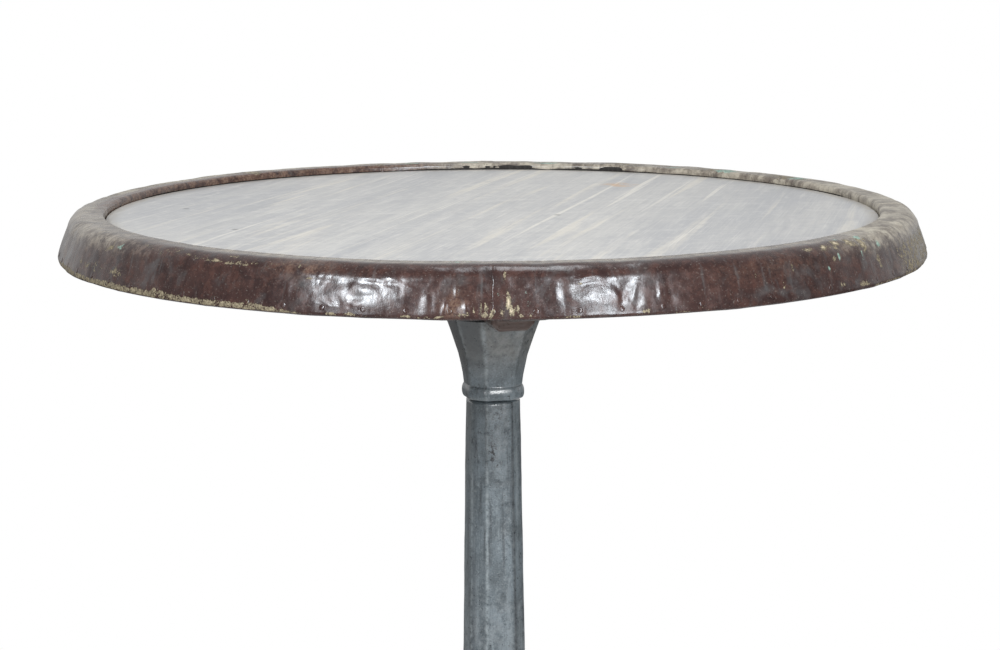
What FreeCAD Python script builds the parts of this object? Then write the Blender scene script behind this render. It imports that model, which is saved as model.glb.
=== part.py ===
"""Round pedestal bistro table: an inset marble slab in a metal-clad wooden rim, on a cast-iron
octagonal column with a four-legged iron base.  All sizes in millimetres, +Z up, origin on the floor
under the middle of the table, legs along +X, +Y, -X and -Y.

How it goes together, from the floor up: four screw glides turn in the toes of four cast legs; the legs
are bolted to an octagonal hub; the hollow shaft stands on the hub's spigot and carries the flared
capital; a four-armed spider sits on the capital and is screwed to the boards; one tie rod runs from the
hub to the spider and pulls hub, shaft, capital and spider together.  The boards carry the marble on a
bed of putty, and a ring of wooden felloes clad in sheet metal frames it.
"""
import FreeCAD
import Part
import math
import os

Vec = FreeCAD.Vector
Z_AXIS = Vec(0, 0, 1)
ORIGIN = Vec(0, 0, 0)

# ---- driving dimensions ----------------------------------------------------------------------------
MARBLE_TOP = 736.0          # height of the marble's surface above the floor
TOP_RADIUS = 400.0          # outer radius of the clad rim, at its lower edge
MARBLE_RADIUS = 356.0
MARBLE_THICK = 18.0
BED_THICK = 1.5             # putty bed under the marble
BOARD_THICK = 15.5
BOARD_RADIUS = 371.6
BOARD_COUNT = 4

SHEET = 1.2                 # thickness of the sheet-metal cladding
RIM_CREST = 6.7             # how far the rim stands above the marble
LIP_RADIUS = 356.7          # inner face of the cladding, beside the marble
LIP_DEPTH = 8.0             # how far the cladding tucks down beside the marble
LIP_ROUND = 4.0             # radius of the cladding's inner top corner
SHOULDER_ROUND = 17.6       # radius of the rim's outer top corner
SIDE_LEAN = math.radians(17.7)   # the side leans out towards its foot
FOOT_ROUND = 3.0            # radius of the cladding's lower outer corner
RETURN_RADIUS = 374.0       # inner edge of the cladding where it is turned under
CLADDING_COUNT = 4
FIRST_SEAM = -103.8         # polar angle of one cladding seam, degrees
FELLOE_COUNT = 8
FELLOE_INNER = 372.0        # felloes are rebated to this radius, round the boards

CAPITAL_TOP = 641.0         # the capital's seat for the spider
COLLAR_Z = 568.5            # middle of the round collar
SHAFT_TOP = 562.0
SHAFT_BOTTOM = 160.0
SHAFT_FLAT_TOP = 24.0       # apothem (half across flats) at the top of the shaft
SHAFT_FLAT_BOTTOM = 30.0    # and at the bottom
SHAFT_ARRIS = 3.0           # rounding of the shaft's long edges
SHAFT_BORE_TOP = 16.5       # radius of the cored hole through the shaft
SHAFT_BORE_BOTTOM = 21.5
SPIGOT = 16.0               # how far capital and hub reach into the shaft
SPIGOT_GAP = 0.2

SPIDER_REACH = 262.0        # radius of the spider's screw lugs
SPIDER_ARM = 28.0           # width of an arm's lower flange
SPIDER_WEB = 9.0
LUG_THICK = 10.0

HUB_BOTTOM = 26.0
HUB_FLAT = 52.0             # apothem of the hub where the legs bolt on
HUB_CAVITY_FLAT = 36.0      # apothem of the cored space under the hub
HUB_CEILING = 84.0          # top of that space, where the tie rod's nut bears
LEG_COUNT = 4
FOOT_RADIUS = 262.0         # radius of the circle through the four glides
FOOT_UNDER = 20.0           # height of the toe's underside
LEG_BOLT_HEIGHTS = (46.0, 74.0)

ROD_RADIUS = 6.0            # M12 tie rod
ROD_HOLE = 6.6
GLIDE_THREAD = 5.0          # M10 glide stems
GLIDE_FIT = 0.05            # radial clearance of stem in toe
PAD_RADIUS = 19.0

# ---- places worked out from them -------------------------------------------------------------------
BED_TOP = MARBLE_TOP - MARBLE_THICK
BOARD_TOP = BED_TOP - BED_THICK
BOARD_UNDER = BOARD_TOP - BOARD_THICK
RIM_FOOT = BOARD_UNDER - SHEET
CREST_Z = MARBLE_TOP + RIM_CREST

parts = {}


def polar(radius, degrees, z=0.0):
    a = math.radians(degrees)
    return Vec(radius * math.cos(a), radius * math.sin(a), z)


def turned(shape, degrees):
    """A copy of shape turned about the table's axis."""
    copy = shape.copy()
    copy.rotate(ORIGIN, Z_AXIS, degrees)
    return copy


def line(a, b):
    return Part.makeLine(Vec(a[0], 0, a[1]), Vec(b[0], 0, b[1]))


def arc(a, through, b):
    points = [Vec(p[0], 0, p[1]) for p in (a, through, b)]
    return Part.Arc(*points).toShape()


def arc_about(centre, radius, start, end):
    """Arc in the XZ plane about centre, from angle start to angle end (radians, from +X towards +Z)."""
    def at(t):
        return (centre[0] + radius * math.cos(t), centre[1] + radius * math.sin(t))
    return arc(at(start), at((start + end) / 2), at(end)), at(start), at(end)


def spun(edges, start=0.0, sweep=360.0):
    """Solid made by turning a closed outline in the XZ plane about the table's axis."""
    face = Part.Face(Part.Wire(edges))
    return turned(face.revolve(ORIGIN, Z_AXIS, sweep), start)


def outline(points):
    closed = list(points) + [points[0]]
    return [line(a, b) for a, b in zip(closed, closed[1:])]


def ring(r_in, r_out, z_low, z_high):
    outer = Part.makeCylinder(r_out, z_high - z_low, Vec(0, 0, z_low))
    if r_in <= 0:
        return outer
    return outer.cut(Part.makeCylinder(r_in, z_high - z_low, Vec(0, 0, z_low)))


def octagonal(side):
    """Solid whose level sections are regular octagons with flats on the X and Y axes.

    side lists the outline from the lowest point up: (apothem, z) for a straight run to that point, or
    (apothem, z, apothem, z) for an arc through the first point to the second.
    """
    right, left = [], []
    here = side[0]
    for step in side[1:]:
        there = step[-2:]
        mirrored = [(-p[0], p[1]) for p in (there, here)]
        if len(step) == 4:
            right.append(arc(here, step[:2], there))
            left.insert(0, arc(mirrored[0], (-step[0], step[1]), mirrored[1]))
        else:
            right.append(line(here, there))
            left.insert(0, line(mirrored[0], mirrored[1]))
        here = there
    bottom, top = side[0], here
    edges = right + [line(top, (-top[0], top[1]))] + left + [line((-bottom[0], bottom[1]), bottom)]
    reach = 2 * max(abs(p) for step in side for p in step[0::2])
    face = Part.Face(Part.Wire(edges))
    face.translate(Vec(0, -reach, 0))
    slab = face.extrude(Vec(0, 2 * reach, 0))
    solid = slab
    for quarter in (1, 2, 3):
        solid = solid.common(turned(slab, quarter * 45.0))
    return solid.removeSplitter()


def hexagon(across_flats, height, base, axis=Z_AXIS):
    """Hexagonal prism standing on base along axis."""
    corner = across_flats / math.sqrt(3)
    points = [polar(corner, 60.0 * k) for k in range(7)]
    prism = Part.Face(Part.makePolygon(points)).extrude(Vec(0, 0, height))
    prism.Placement = FreeCAD.Placement(base, FreeCAD.Rotation(Z_AXIS, axis))
    return prism


def wood_screw(length, head_radius=4.4, shank=2.3):
    """Countersunk slotted wood screw, head's face at z = 0, pointing along +Z."""
    head_height = head_radius - shank
    tip = 5.0
    screw = Part.makeCone(head_radius, shank, head_height)
    screw = screw.fuse(Part.makeCylinder(shank, length - tip - head_height, Vec(0, 0, head_height)))
    screw = screw.fuse(Part.makeCone(shank, 0.4, tip, Vec(0, 0, length - tip)))
    slot = Part.makeBox(2.2 * head_radius, 1.1, 1.1, Vec(-1.1 * head_radius, -0.55, 0))
    return screw.cut(slot).removeSplitter()


def tack(length=12.0, head_radius=2.8, shank=0.9):
    """Round-headed tack along -Z, with the underside of its head at z = 0."""
    return spun(outline([(0, -length), (shank, 2 - length), (shank, 0), (head_radius, 0),
                         (0.8 * head_radius, 0.6), (0.45 * head_radius, 1.0), (0, 1.1)]))


def placed(shape, base, axis):
    """A copy of shape with its own Z axis laid along axis, at base."""
    copy = shape.copy()
    copy.Placement = FreeCAD.Placement(base, FreeCAD.Rotation(Z_AXIS, axis))
    return copy


def drilled(shape, tools):
    return shape.cut(Part.makeCompound(tools)) if tools else shape


# ---- the rim's section -----------------------------------------------------------------------------
def rim_path(inset):
    """The rim's section from the lip beside the marble, over the crest and down to the turned-under
    edge, moved in by inset.  Returns the edges and their first and last points."""
    lip_centre = (LIP_RADIUS + LIP_ROUND, CREST_Z - LIP_ROUND)
    foot_centre = (TOP_RADIUS - FOOT_ROUND, RIM_FOOT + FOOT_ROUND)
    # The side is tangent to the foot's corner and to the shoulder, so it fixes the shoulder's centre.
    shoulder_z = CREST_Z - SHOULDER_ROUND
    shift = (SHOULDER_ROUND - FOOT_ROUND) / math.cos(SIDE_LEAN)
    shoulder_r = foot_centre[0] - (shoulder_z - foot_centre[1]) * math.tan(SIDE_LEAN) - shift
    start = (LIP_RADIUS + inset, MARBLE_TOP - LIP_DEPTH)
    lip, lip_from, lip_to = arc_about(lip_centre, LIP_ROUND - inset, math.pi, math.pi / 2)
    shoulder, sh_from, sh_to = arc_about((shoulder_r, shoulder_z), SHOULDER_ROUND - inset,
                                         math.pi / 2, SIDE_LEAN)
    foot, foot_from, foot_to = arc_about(foot_centre, FOOT_ROUND - inset, SIDE_LEAN, -math.pi / 2)
    end = (RETURN_RADIUS, RIM_FOOT + inset)
    edges = [line(start, lip_from), lip, line(lip_to, sh_from), shoulder,
             line(sh_to, foot_from), foot, line(foot_to, end)]
    return edges, start, end


def side_point(rise, inset=0.0):
    """(radius, z) on the rim's leaning side, rise above the foot's corner."""
    r = TOP_RADIUS - FOOT_ROUND + (FOOT_ROUND - inset) * math.cos(SIDE_LEAN)
    z = RIM_FOOT + FOOT_ROUND + (FOOT_ROUND - inset) * math.sin(SIDE_LEAN)
    return r - rise * math.tan(SIDE_LEAN), z + rise


# ---- fasteners in the top --------------------------------------------------------------------------
SIDE_TACKS = 72
UNDER_TACKS = 48
FIRST_SIDE_TACK = -80.5     # polar angle of one side tack, degrees
TACK_RISE = 5.0             # side tacks' height above the foot's corner
UNDER_TACK_RADIUS = 382.0
TACK_HOLE = 0.95


def tack_places():
    """(base, axis) of every tack's head: those round the side, then those under the rim."""
    r, z = side_point(TACK_RISE)
    side, under = [], []
    for k in range(SIDE_TACKS):
        a = FIRST_SIDE_TACK + k * 360.0 / SIDE_TACKS
        outward = polar(math.cos(SIDE_LEAN), a, math.sin(SIDE_LEAN))
        side.append((polar(r, a, z), outward))
    for k in range(UNDER_TACKS):
        a = (k + 0.5) * 360.0 / UNDER_TACKS
        under.append((polar(UNDER_TACK_RADIUS, a, RIM_FOOT), -Z_AXIS))
    return side, under


def tack_holes(places):
    drill = Part.makeCylinder(TACK_HOLE, 13.5, Vec(0, 0, -12.5))
    return [placed(drill, base, axis) for base, axis in places]


RIM_SCREW_RADIUS = 362.5
RIM_SCREW_LENGTH = 34.0


def rim_screw_places():
    """Two screws up through the boards into every felloe."""
    share = 360.0 / FELLOE_COUNT
    return [polar(RIM_SCREW_RADIUS, (k + s) * share, BOARD_UNDER)
            for k in range(FELLOE_COUNT) for s in (-0.25, 0.25)]


SPIDER_SCREW_LENGTH = 23.0
SPIDER_SCREW_SIDE = 14.0    # each lug's two screws stand this far either side of the arm's middle


def spider_screw_places():
    places = []
    for k in range(4):
        for side in (-SPIDER_SCREW_SIDE, SPIDER_SCREW_SIDE):
            base = Vec(SPIDER_REACH, side, BOARD_UNDER - LUG_THICK)
            places.append(FreeCAD.Rotation(Z_AXIS, 90.0 * k).multVec(base))
    return places


def screws(places, length):
    shape = wood_screw(length)
    return [placed(shape, place, Z_AXIS) for place in places]


# ---- the top ---------------------------------------------------------------------------------------
def make_marble():
    slab = ring(0, MARBLE_RADIUS, BED_TOP, MARBLE_TOP)
    top_edge = [e for e in slab.Edges if e.BoundBox.ZMin > MARBLE_TOP - 0.01 and e.Closed]
    parts["marble_slab"] = slab.makeFillet(1.0, top_edge)
    parts["slab_bedding"] = ring(0, MARBLE_RADIUS - 6.0, BOARD_TOP, BED_TOP)


def make_boards(screw_tools):
    """Boards side by side across X, with loose tongues in grooves between them."""
    width = 2 * BOARD_RADIUS / BOARD_COUNT
    middle = (BOARD_TOP + BOARD_UNDER) / 2
    tongue_wide, tongue_thick, gap = 20.0, 5.0, 0.1
    disc = ring(0, BOARD_RADIUS, BOARD_UNDER, BOARD_TOP)
    grooves = []
    for k in range(1, BOARD_COUNT):
        x = -BOARD_RADIUS + k * width
        half = math.sqrt(BOARD_RADIUS ** 2 - x ** 2) - 25.0
        tongue = Part.makeBox(tongue_wide, 2 * half, tongue_thick,
                              Vec(x - tongue_wide / 2, -half, middle - tongue_thick / 2))
        parts["board_tongue_%d" % k] = tongue
        grooves.append(Part.makeBox(tongue_wide + 2 * gap, 2 * half + 2 * gap, tongue_thick + 2 * gap,
                                    Vec(x - tongue_wide / 2 - gap, -half - gap,
                                        middle - tongue_thick / 2 - gap)))
    for k in range(BOARD_COUNT):
        strip = Part.makeBox(width, 2 * BOARD_RADIUS, BOARD_THICK,
                             Vec(-BOARD_RADIUS + k * width, -BOARD_RADIUS, BOARD_UNDER))
        board = drilled(disc.common(strip), grooves)
        parts["top_board_%d" % (k + 1)] = drilled(board, screw_tools)


def make_felloes(holes, screw_tools):
    edges, start, end = rim_path(SHEET)
    inner_foot = (start[0], BOARD_TOP)
    rebate = [(FELLOE_INNER, end[1]), (FELLOE_INNER, BOARD_TOP), inner_foot, start]
    closed = edges + [line(a, b) for a, b in zip([end] + rebate, rebate)]
    share = 360.0 / FELLOE_COUNT
    for k in range(FELLOE_COUNT):
        felloe = spun(closed, (k - 0.5) * share, share)
        parts["rim_felloe_%d" % (k + 1)] = drilled(felloe, holes + screw_tools)


def make_cladding(holes):
    outer, outer_start, outer_end = rim_path(0.0)
    inner, inner_start, inner_end = rim_path(SHEET)
    closed = outer + [line(outer_end, inner_end)] + inner[::-1] + [line(inner_start, outer_start)]
    share = 360.0 / CLADDING_COUNT
    wire = Part.Wire(Part.__sortEdges__(closed))
    for k in range(CLADDING_COUNT):
        strip = turned(Part.Face(wire).revolve(ORIGIN, Z_AXIS, share), FIRST_SEAM + k * share)
        parts["rim_cladding_%d" % (k + 1)] = drilled(strip, holes)


def make_top():
    side, under = tack_places()
    one = tack()
    parts["rim_side_tacks"] = Part.makeCompound([placed(one, b, a) for b, a in side])
    parts["rim_under_tacks"] = Part.makeCompound([placed(one, b, a) for b, a in under])
    holes = tack_holes(side) + tack_holes(under)
    rim_screws = screws(rim_screw_places(), RIM_SCREW_LENGTH)
    spider_screws = screws(spider_screw_places(), SPIDER_SCREW_LENGTH)
    parts["rim_screws"] = Part.makeCompound(rim_screws)
    parts["spider_screws"] = Part.makeCompound(spider_screws)
    make_marble()
    make_boards(rim_screws + spider_screws)
    make_felloes(holes, rim_screws)
    make_cladding(holes)
    make_spider(spider_screws)


# ---- the spider under the top ----------------------------------------------------------------------
KNUCKLE_IN, KNUCKLE_OUT = 44.2, 72.0     # radii of the knuckles that hook over the capital's edge
KNUCKLE_WIDTH = 42.0
KNUCKLE_DROP = 5.8
ARM_ROOT = 20.0
ARM_FLANGE = 8.0
ARM_LOW = CAPITAL_TOP + 5.5
ARM_BEND = (165.0, 662.0)   # the arm's underside passes through this (radius, height)


def slab_across(edges, width):
    """Solid of the given width, centred on the XZ plane, with a closed outline in that plane."""
    face = Part.Face(Part.Wire(edges))
    face.translate(Vec(0, -width / 2, 0))
    return face.extrude(Vec(0, width, 0))


def spider_arm():
    """One arm along +X: a flange that curves up to the screw lug, and a web from it to the boards."""
    tip = SPIDER_REACH - 4.0
    lug_under = BOARD_UNDER - LUG_THICK
    under = [line((ARM_ROOT, CAPITAL_TOP), (KNUCKLE_OUT, CAPITAL_TOP)),
             line((KNUCKLE_OUT, CAPITAL_TOP), (KNUCKLE_OUT, ARM_LOW)),
             arc((KNUCKLE_OUT, ARM_LOW), ARM_BEND, (tip, lug_under))]
    web = under + [line((tip, lug_under), (tip, BOARD_UNDER)),
                   line((tip, BOARD_UNDER), (ARM_ROOT, BOARD_UNDER)),
                   line((ARM_ROOT, BOARD_UNDER), (ARM_ROOT, CAPITAL_TOP))]
    high = ARM_LOW + ARM_FLANGE
    flange = under + [line((tip, lug_under), (tip, lug_under + ARM_FLANGE)),
                      arc((tip, lug_under + ARM_FLANGE), (ARM_BEND[0], ARM_BEND[1] + ARM_FLANGE),
                          (KNUCKLE_OUT, high)),
                      line((KNUCKLE_OUT, high), (ARM_ROOT, high)),
                      line((ARM_ROOT, high), (ARM_ROOT, CAPITAL_TOP))]
    lug = Part.makeCylinder(23.0, LUG_THICK, Vec(SPIDER_REACH, 0, lug_under))
    return slab_across(web, SPIDER_WEB).fuse([slab_across(flange, SPIDER_ARM), lug])


def spider_knuckle():
    """Hook along +X over the flat of the capital, with its lower corners cut off."""
    half, cut = KNUCKLE_WIDTH / 2, 7.0
    low, high = CAPITAL_TOP - KNUCKLE_DROP, CAPITAL_TOP + 11.0
    points = [(-half + cut, low), (half - cut, low), (half, low + cut), (half, high), (-half, high),
              (-half, low + cut), (-half + cut, low)]
    face = Part.Face(Part.makePolygon([Vec(KNUCKLE_IN, y, z) for y, z in points]))
    return face.extrude(Vec(KNUCKLE_OUT - KNUCKLE_IN, 0, 0))


def make_spider(screw_tools):
    seat_radius, boss_radius = 46.0, 25.0
    well_radius, well_depth = 14.0, 18.0
    seat = Part.makeCylinder(seat_radius, 11.0, Vec(0, 0, CAPITAL_TOP))
    boss = Part.makeCylinder(boss_radius, BOARD_UNDER - CAPITAL_TOP, Vec(0, 0, CAPITAL_TOP))
    arm, knuckle = spider_arm(), spider_knuckle()
    arms = [turned(arm, 90.0 * k) for k in range(4)]
    knuckles = [turned(knuckle, side) for side in (90.0, -90.0)]
    spider = seat.fuse([boss] + arms + knuckles)
    well = Part.makeCylinder(well_radius, well_depth, Vec(0, 0, BOARD_UNDER - well_depth))
    hole = Part.makeCylinder(ROD_HOLE, BOARD_UNDER, Vec(0, 0, CAPITAL_TOP - 1))
    parts["top_spider"] = drilled(spider.cut([well, hole]).removeSplitter(), screw_tools)
    washer_z = BOARD_UNDER - well_depth
    parts["tie_rod_top_washer"] = ring(ROD_RADIUS + 0.5, 12.5, washer_z, washer_z + 2.5)
    nut = hexagon(19.0, 10.5, Vec(0, 0, washer_z + 2.5))
    parts["tie_rod_top_nut"] = nut.cut(Part.makeCylinder(ROD_RADIUS, 60, Vec(0, 0, washer_z - 10)))


# ---- the column ------------------------------------------------------------------------------------
DOWEL_RADIUS = 2.0
DOWEL_LENGTH = 16.0
TOP_DOWEL_AT = 20.2         # radii of the two dowels that stop shaft, capital and hub turning
BOTTOM_DOWEL_AT = 25.6


def dowel(radius_at, z):
    return Part.makeCylinder(DOWEL_RADIUS, DOWEL_LENGTH, Vec(radius_at, 0, z - DOWEL_LENGTH / 2))


def make_column():
    waist = 25.6            # the capital's apothem just above the collar
    flare = octagonal([(waist - 1.0, SHAFT_TOP), (waist, COLLAR_Z + 5.0),
                       (30.2, 603.0, 42.6, CAPITAL_TOP - 3.0), (43.2, CAPITAL_TOP)])
    collar = spun([line((20, SHAFT_TOP + 0.8), (26.4, SHAFT_TOP + 0.8)),
                   line((26.4, SHAFT_TOP + 0.8), (27.4, SHAFT_TOP + 3.5)),
                   arc((27.4, SHAFT_TOP + 3.5), (29.4, COLLAR_Z), (27.8, COLLAR_Z + 5.5)),
                   line((27.8, COLLAR_Z + 5.5), (20, COLLAR_Z + 9.0)),
                   line((20, COLLAR_Z + 9.0), (20, SHAFT_TOP + 0.8))])
    spigot = Part.makeCylinder(SHAFT_BORE_TOP - SPIGOT_GAP - 0.3, SPIGOT + 4.0,
                               Vec(0, 0, SHAFT_TOP - SPIGOT))
    core = Part.makeCylinder(12.0, 78.0, Vec(0, 0, SHAFT_TOP - SPIGOT))
    rod_hole = Part.makeCylinder(ROD_HOLE, 200, Vec(0, 0, SHAFT_TOP - SPIGOT))
    pin = dowel(TOP_DOWEL_AT, SHAFT_TOP)
    capital = flare.fuse([collar, spigot]).cut([core, rod_hole, pin])
    parts["column_capital"] = capital.removeSplitter()

    shaft = octagonal([(SHAFT_FLAT_BOTTOM, SHAFT_BOTTOM), (SHAFT_FLAT_TOP, SHAFT_TOP)])
    long_edges = [e for e in shaft.Edges if e.Length > 0.9 * (SHAFT_TOP - SHAFT_BOTTOM)]
    shaft = shaft.makeFillet(SHAFT_ARRIS, long_edges)
    bore = Part.makeCone(SHAFT_BORE_BOTTOM, SHAFT_BORE_TOP, SHAFT_TOP - SHAFT_BOTTOM,
                         Vec(0, 0, SHAFT_BOTTOM))
    low_pin = dowel(BOTTOM_DOWEL_AT, SHAFT_BOTTOM)
    parts["column_shaft"] = shaft.cut([bore, pin, low_pin])
    parts["capital_dowel"] = pin
    parts["hub_dowel"] = low_pin

    rod_low = HUB_CEILING - 18.0
    rod_high = BOARD_UNDER - 2.0
    parts["tie_rod"] = Part.makeCylinder(ROD_RADIUS, rod_high - rod_low, Vec(0, 0, rod_low))
    return low_pin


# ---- the base --------------------------------------------------------------------------------------
LEG_SECTIONS = (            # x, underside, top, width, corner chamfer
    (HUB_FLAT, 34.0, 93.0, 40.0, 9.0),
    (84.0, 39.0, 74.0, 36.0, 9.0),
    (125.0, 40.0, 63.0, 33.0, 8.0),
    (175.0, 34.0, 56.0, 32.0, 7.5),
    (222.0, 26.0, 51.0, 35.0, 7.5),
    (FOOT_RADIUS, FOOT_UNDER, 50.0, 44.0, 9.0),
    (288.0, FOOT_UNDER + 1.0, 44.0, 34.0, 9.0),
)
LEG_BOLT_RADIUS = 4.0       # M8 bolts hold the legs
LEG_BOLT_END = 72.0
GLIDE_HOLE_TOP = 42.0


def leg_section(x, low, high, width, cut):
    """Rectangle with cut corners, in the plane across the leg at x."""
    y, c = width / 2, cut
    points = [(y, low), (y, high - c), (y - c, high), (c - y, high),
              (-y, high - c), (-y, low), (y, low)]
    return Part.makePolygon([Vec(x, a, b) for a, b in points])


def leg_bolt(z):
    """Hexagon-headed bolt and its washer, from inside the hub out along +X."""
    outward = Vec(1, 0, 0)
    washer_x = HUB_CAVITY_FLAT - 1.6
    washer = Part.makeCylinder(8.0, 1.6, Vec(washer_x, 0, z), outward)
    washer = washer.cut(Part.makeCylinder(4.2, 1.6, Vec(washer_x, 0, z), outward))
    head = hexagon(13.0, 5.3, Vec(washer_x - 5.3, 0, z), outward)
    shank = Part.makeCylinder(LEG_BOLT_RADIUS, LEG_BOLT_END - washer_x, Vec(washer_x, 0, z), outward)
    return head.fuse(shank).removeSplitter(), washer


def make_base(low_pin):
    hub = octagonal([(HUB_FLAT - 3.0, HUB_BOTTOM), (HUB_FLAT, HUB_BOTTOM + 3.0), (HUB_FLAT, 96.0),
                     (50.0, 100.0), (48.5, 100.0), (36.0, 119.0, 31.5, SHAFT_BOTTOM - 12.0),
                     (30.6, SHAFT_BOTTOM)])
    collar = spun([line((20, SHAFT_BOTTOM - 14), (33.5, SHAFT_BOTTOM - 14)),
                   arc((33.5, SHAFT_BOTTOM - 14), (37.4, SHAFT_BOTTOM - 7.5), (34.0, SHAFT_BOTTOM - 1.0)),
                   line((34.0, SHAFT_BOTTOM - 1.0), (33.0, SHAFT_BOTTOM)),
                   line((33.0, SHAFT_BOTTOM), (20, SHAFT_BOTTOM)),
                   line((20, SHAFT_BOTTOM), (20, SHAFT_BOTTOM - 14))])
    spigot = Part.makeCylinder(SHAFT_BORE_BOTTOM - SPIGOT_GAP - 0.5, SPIGOT + 4.0,
                               Vec(0, 0, SHAFT_BOTTOM - 4.0))
    cavity = octagonal([(HUB_CAVITY_FLAT, HUB_BOTTOM - 1), (HUB_CAVITY_FLAT, HUB_CEILING)])
    core = Part.makeCylinder(12.0, 90.0, Vec(0, 0, HUB_CEILING + 14.0))
    rod_hole = Part.makeCylinder(ROD_HOLE, 300, Vec(0, 0, HUB_BOTTOM))
    bolt_holes = [turned(Part.makeCylinder(LEG_BOLT_RADIUS + 0.5, 30, Vec(30, 0, z), Vec(1, 0, 0)), 90.0 * k)
                  for k in range(LEG_COUNT) for z in LEG_BOLT_HEIGHTS]
    hub = hub.fuse([collar, spigot]).cut([cavity, core, rod_hole, low_pin] + bolt_holes)
    parts["base_hub"] = hub.removeSplitter()

    leg = Part.makeLoft([leg_section(*s) for s in LEG_SECTIONS], True, False)
    taps = [Part.makeCylinder(LEG_BOLT_RADIUS, LEG_BOLT_END - HUB_FLAT + 2.0, Vec(HUB_FLAT - 1, 0, z),
                              Vec(1, 0, 0)) for z in LEG_BOLT_HEIGHTS]
    glide_hole = Part.makeCylinder(GLIDE_THREAD + GLIDE_FIT, GLIDE_HOLE_TOP - FOOT_UNDER + 5,
                                   Vec(FOOT_RADIUS, 0, FOOT_UNDER - 5))
    leg = leg.cut(taps + [glide_hole])
    bolts, washers = [], []
    for k in range(LEG_COUNT):
        parts["base_leg_%d" % (k + 1)] = turned(leg, 90.0 * k)
        for z in LEG_BOLT_HEIGHTS:
            bolt, washer = leg_bolt(z)
            bolts.append(turned(bolt, 90.0 * k))
            washers.append(turned(washer, 90.0 * k))
    parts["leg_bolts"] = Part.makeCompound(bolts)
    parts["leg_bolt_washers"] = Part.makeCompound(washers)

    washer_z = HUB_CEILING - 2.5
    parts["tie_rod_bottom_washer"] = ring(ROD_RADIUS + 0.5, 15.0, washer_z, HUB_CEILING)
    nut = hexagon(19.0, 10.5, Vec(0, 0, washer_z - 10.5))
    parts["tie_rod_bottom_nut"] = nut.cut(Part.makeCylinder(ROD_RADIUS, 60, Vec(0, 0, washer_z - 20)))


# ---- the glides ------------------------------------------------------------------------------------
SOLE_THICK = 2.0
PAD_TOP = 9.0
BUTTON_RADIUS = 5.5         # the stem's foot, held in the pad
BUTTON_THICK = 5.5
BUTTON_GAP = 0.1
BUTTON_LOW = SOLE_THICK + 0.8
HEX_LOW, HEX_HIGH = 10.0, 15.0
STEM_TOP = 37.0


def make_glides():
    """A swivel glide in each toe: the sole and pad stay still on the floor while the stem turns."""
    pad = spun([line((0, SOLE_THICK), (PAD_RADIUS, SOLE_THICK)),
                line((PAD_RADIUS, SOLE_THICK), (PAD_RADIUS, 4.5)),
                arc((PAD_RADIUS, 4.5), (13.5, 6.4), (9.0, PAD_TOP)),
                line((9.0, PAD_TOP), (0, PAD_TOP)),
                line((0, PAD_TOP), (0, SOLE_THICK))])
    well = Part.makeCylinder(BUTTON_RADIUS + BUTTON_GAP, BUTTON_THICK + 2 * BUTTON_GAP,
                             Vec(0, 0, BUTTON_LOW - BUTTON_GAP))
    neck_hole = Part.makeCylinder(3.6, PAD_TOP, Vec(0, 0, BUTTON_LOW))
    pad = pad.cut([well, neck_hole])
    sole = spun([line((0, 0), (PAD_RADIUS - 1.5, 0)),
                 line((PAD_RADIUS - 1.5, 0), (PAD_RADIUS - 0.5, SOLE_THICK)),
                 line((PAD_RADIUS - 0.5, SOLE_THICK), (0, SOLE_THICK)),
                 line((0, SOLE_THICK), (0, 0))])
    button = Part.makeCylinder(BUTTON_RADIUS, BUTTON_THICK, Vec(0, 0, BUTTON_LOW))
    neck = Part.makeCylinder(3.4, HEX_LOW - BUTTON_LOW, Vec(0, 0, BUTTON_LOW))
    flats = hexagon(14.0, HEX_HIGH - HEX_LOW, Vec(0, 0, HEX_LOW))
    thread = Part.makeCylinder(GLIDE_THREAD, STEM_TOP - HEX_HIGH, Vec(0, 0, HEX_HIGH))
    stem = button.fuse([neck, flats, thread]).removeSplitter()
    for k in range(LEG_COUNT):
        for name, shape in (("glide_pad", pad), ("glide_sole", sole), ("glide_stem", stem)):
            piece = shape.copy()
            piece.translate(Vec(FOOT_RADIUS, 0, 0))
            parts["%s_%d" % (name, k + 1)] = turned(piece, 90.0 * k)


make_top()
make_base(make_column())
make_glides()

os.makedirs("parts", exist_ok=True)
for name, shape in sorted(parts.items()):
    shape.exportStep("parts/%s.step" % name)
    print("%-24s solids %2d  valid %s  volume %.1f cm3" % (
        name, len(shape.Solids), shape.isValid(), shape.Volume / 1000.0))
print(len(parts), "parts")
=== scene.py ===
"""The looks of the bistro table: hammered rim, marble, cast iron and the studio round it.

Everything is in metres in the model's own frame.  Bearings are degrees round the table's axis, measured
from the side that faces the camera, positive towards the right of the picture.
"""
import math

import bpy
import numpy as np
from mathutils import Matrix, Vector


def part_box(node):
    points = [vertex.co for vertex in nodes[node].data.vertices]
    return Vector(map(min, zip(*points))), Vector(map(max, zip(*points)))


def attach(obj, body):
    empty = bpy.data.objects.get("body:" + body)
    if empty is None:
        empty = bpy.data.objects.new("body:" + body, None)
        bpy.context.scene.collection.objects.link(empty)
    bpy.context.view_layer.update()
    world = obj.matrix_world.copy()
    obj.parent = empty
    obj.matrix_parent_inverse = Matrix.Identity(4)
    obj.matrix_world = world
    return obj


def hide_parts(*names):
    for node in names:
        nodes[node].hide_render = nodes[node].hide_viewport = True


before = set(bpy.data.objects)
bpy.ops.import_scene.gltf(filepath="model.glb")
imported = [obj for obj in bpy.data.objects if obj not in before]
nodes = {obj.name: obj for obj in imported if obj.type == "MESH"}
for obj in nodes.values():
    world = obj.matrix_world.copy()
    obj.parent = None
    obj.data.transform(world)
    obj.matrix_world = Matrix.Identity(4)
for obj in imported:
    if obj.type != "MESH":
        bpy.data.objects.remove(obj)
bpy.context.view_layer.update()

ROOT = "table"
MM = 0.001

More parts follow.
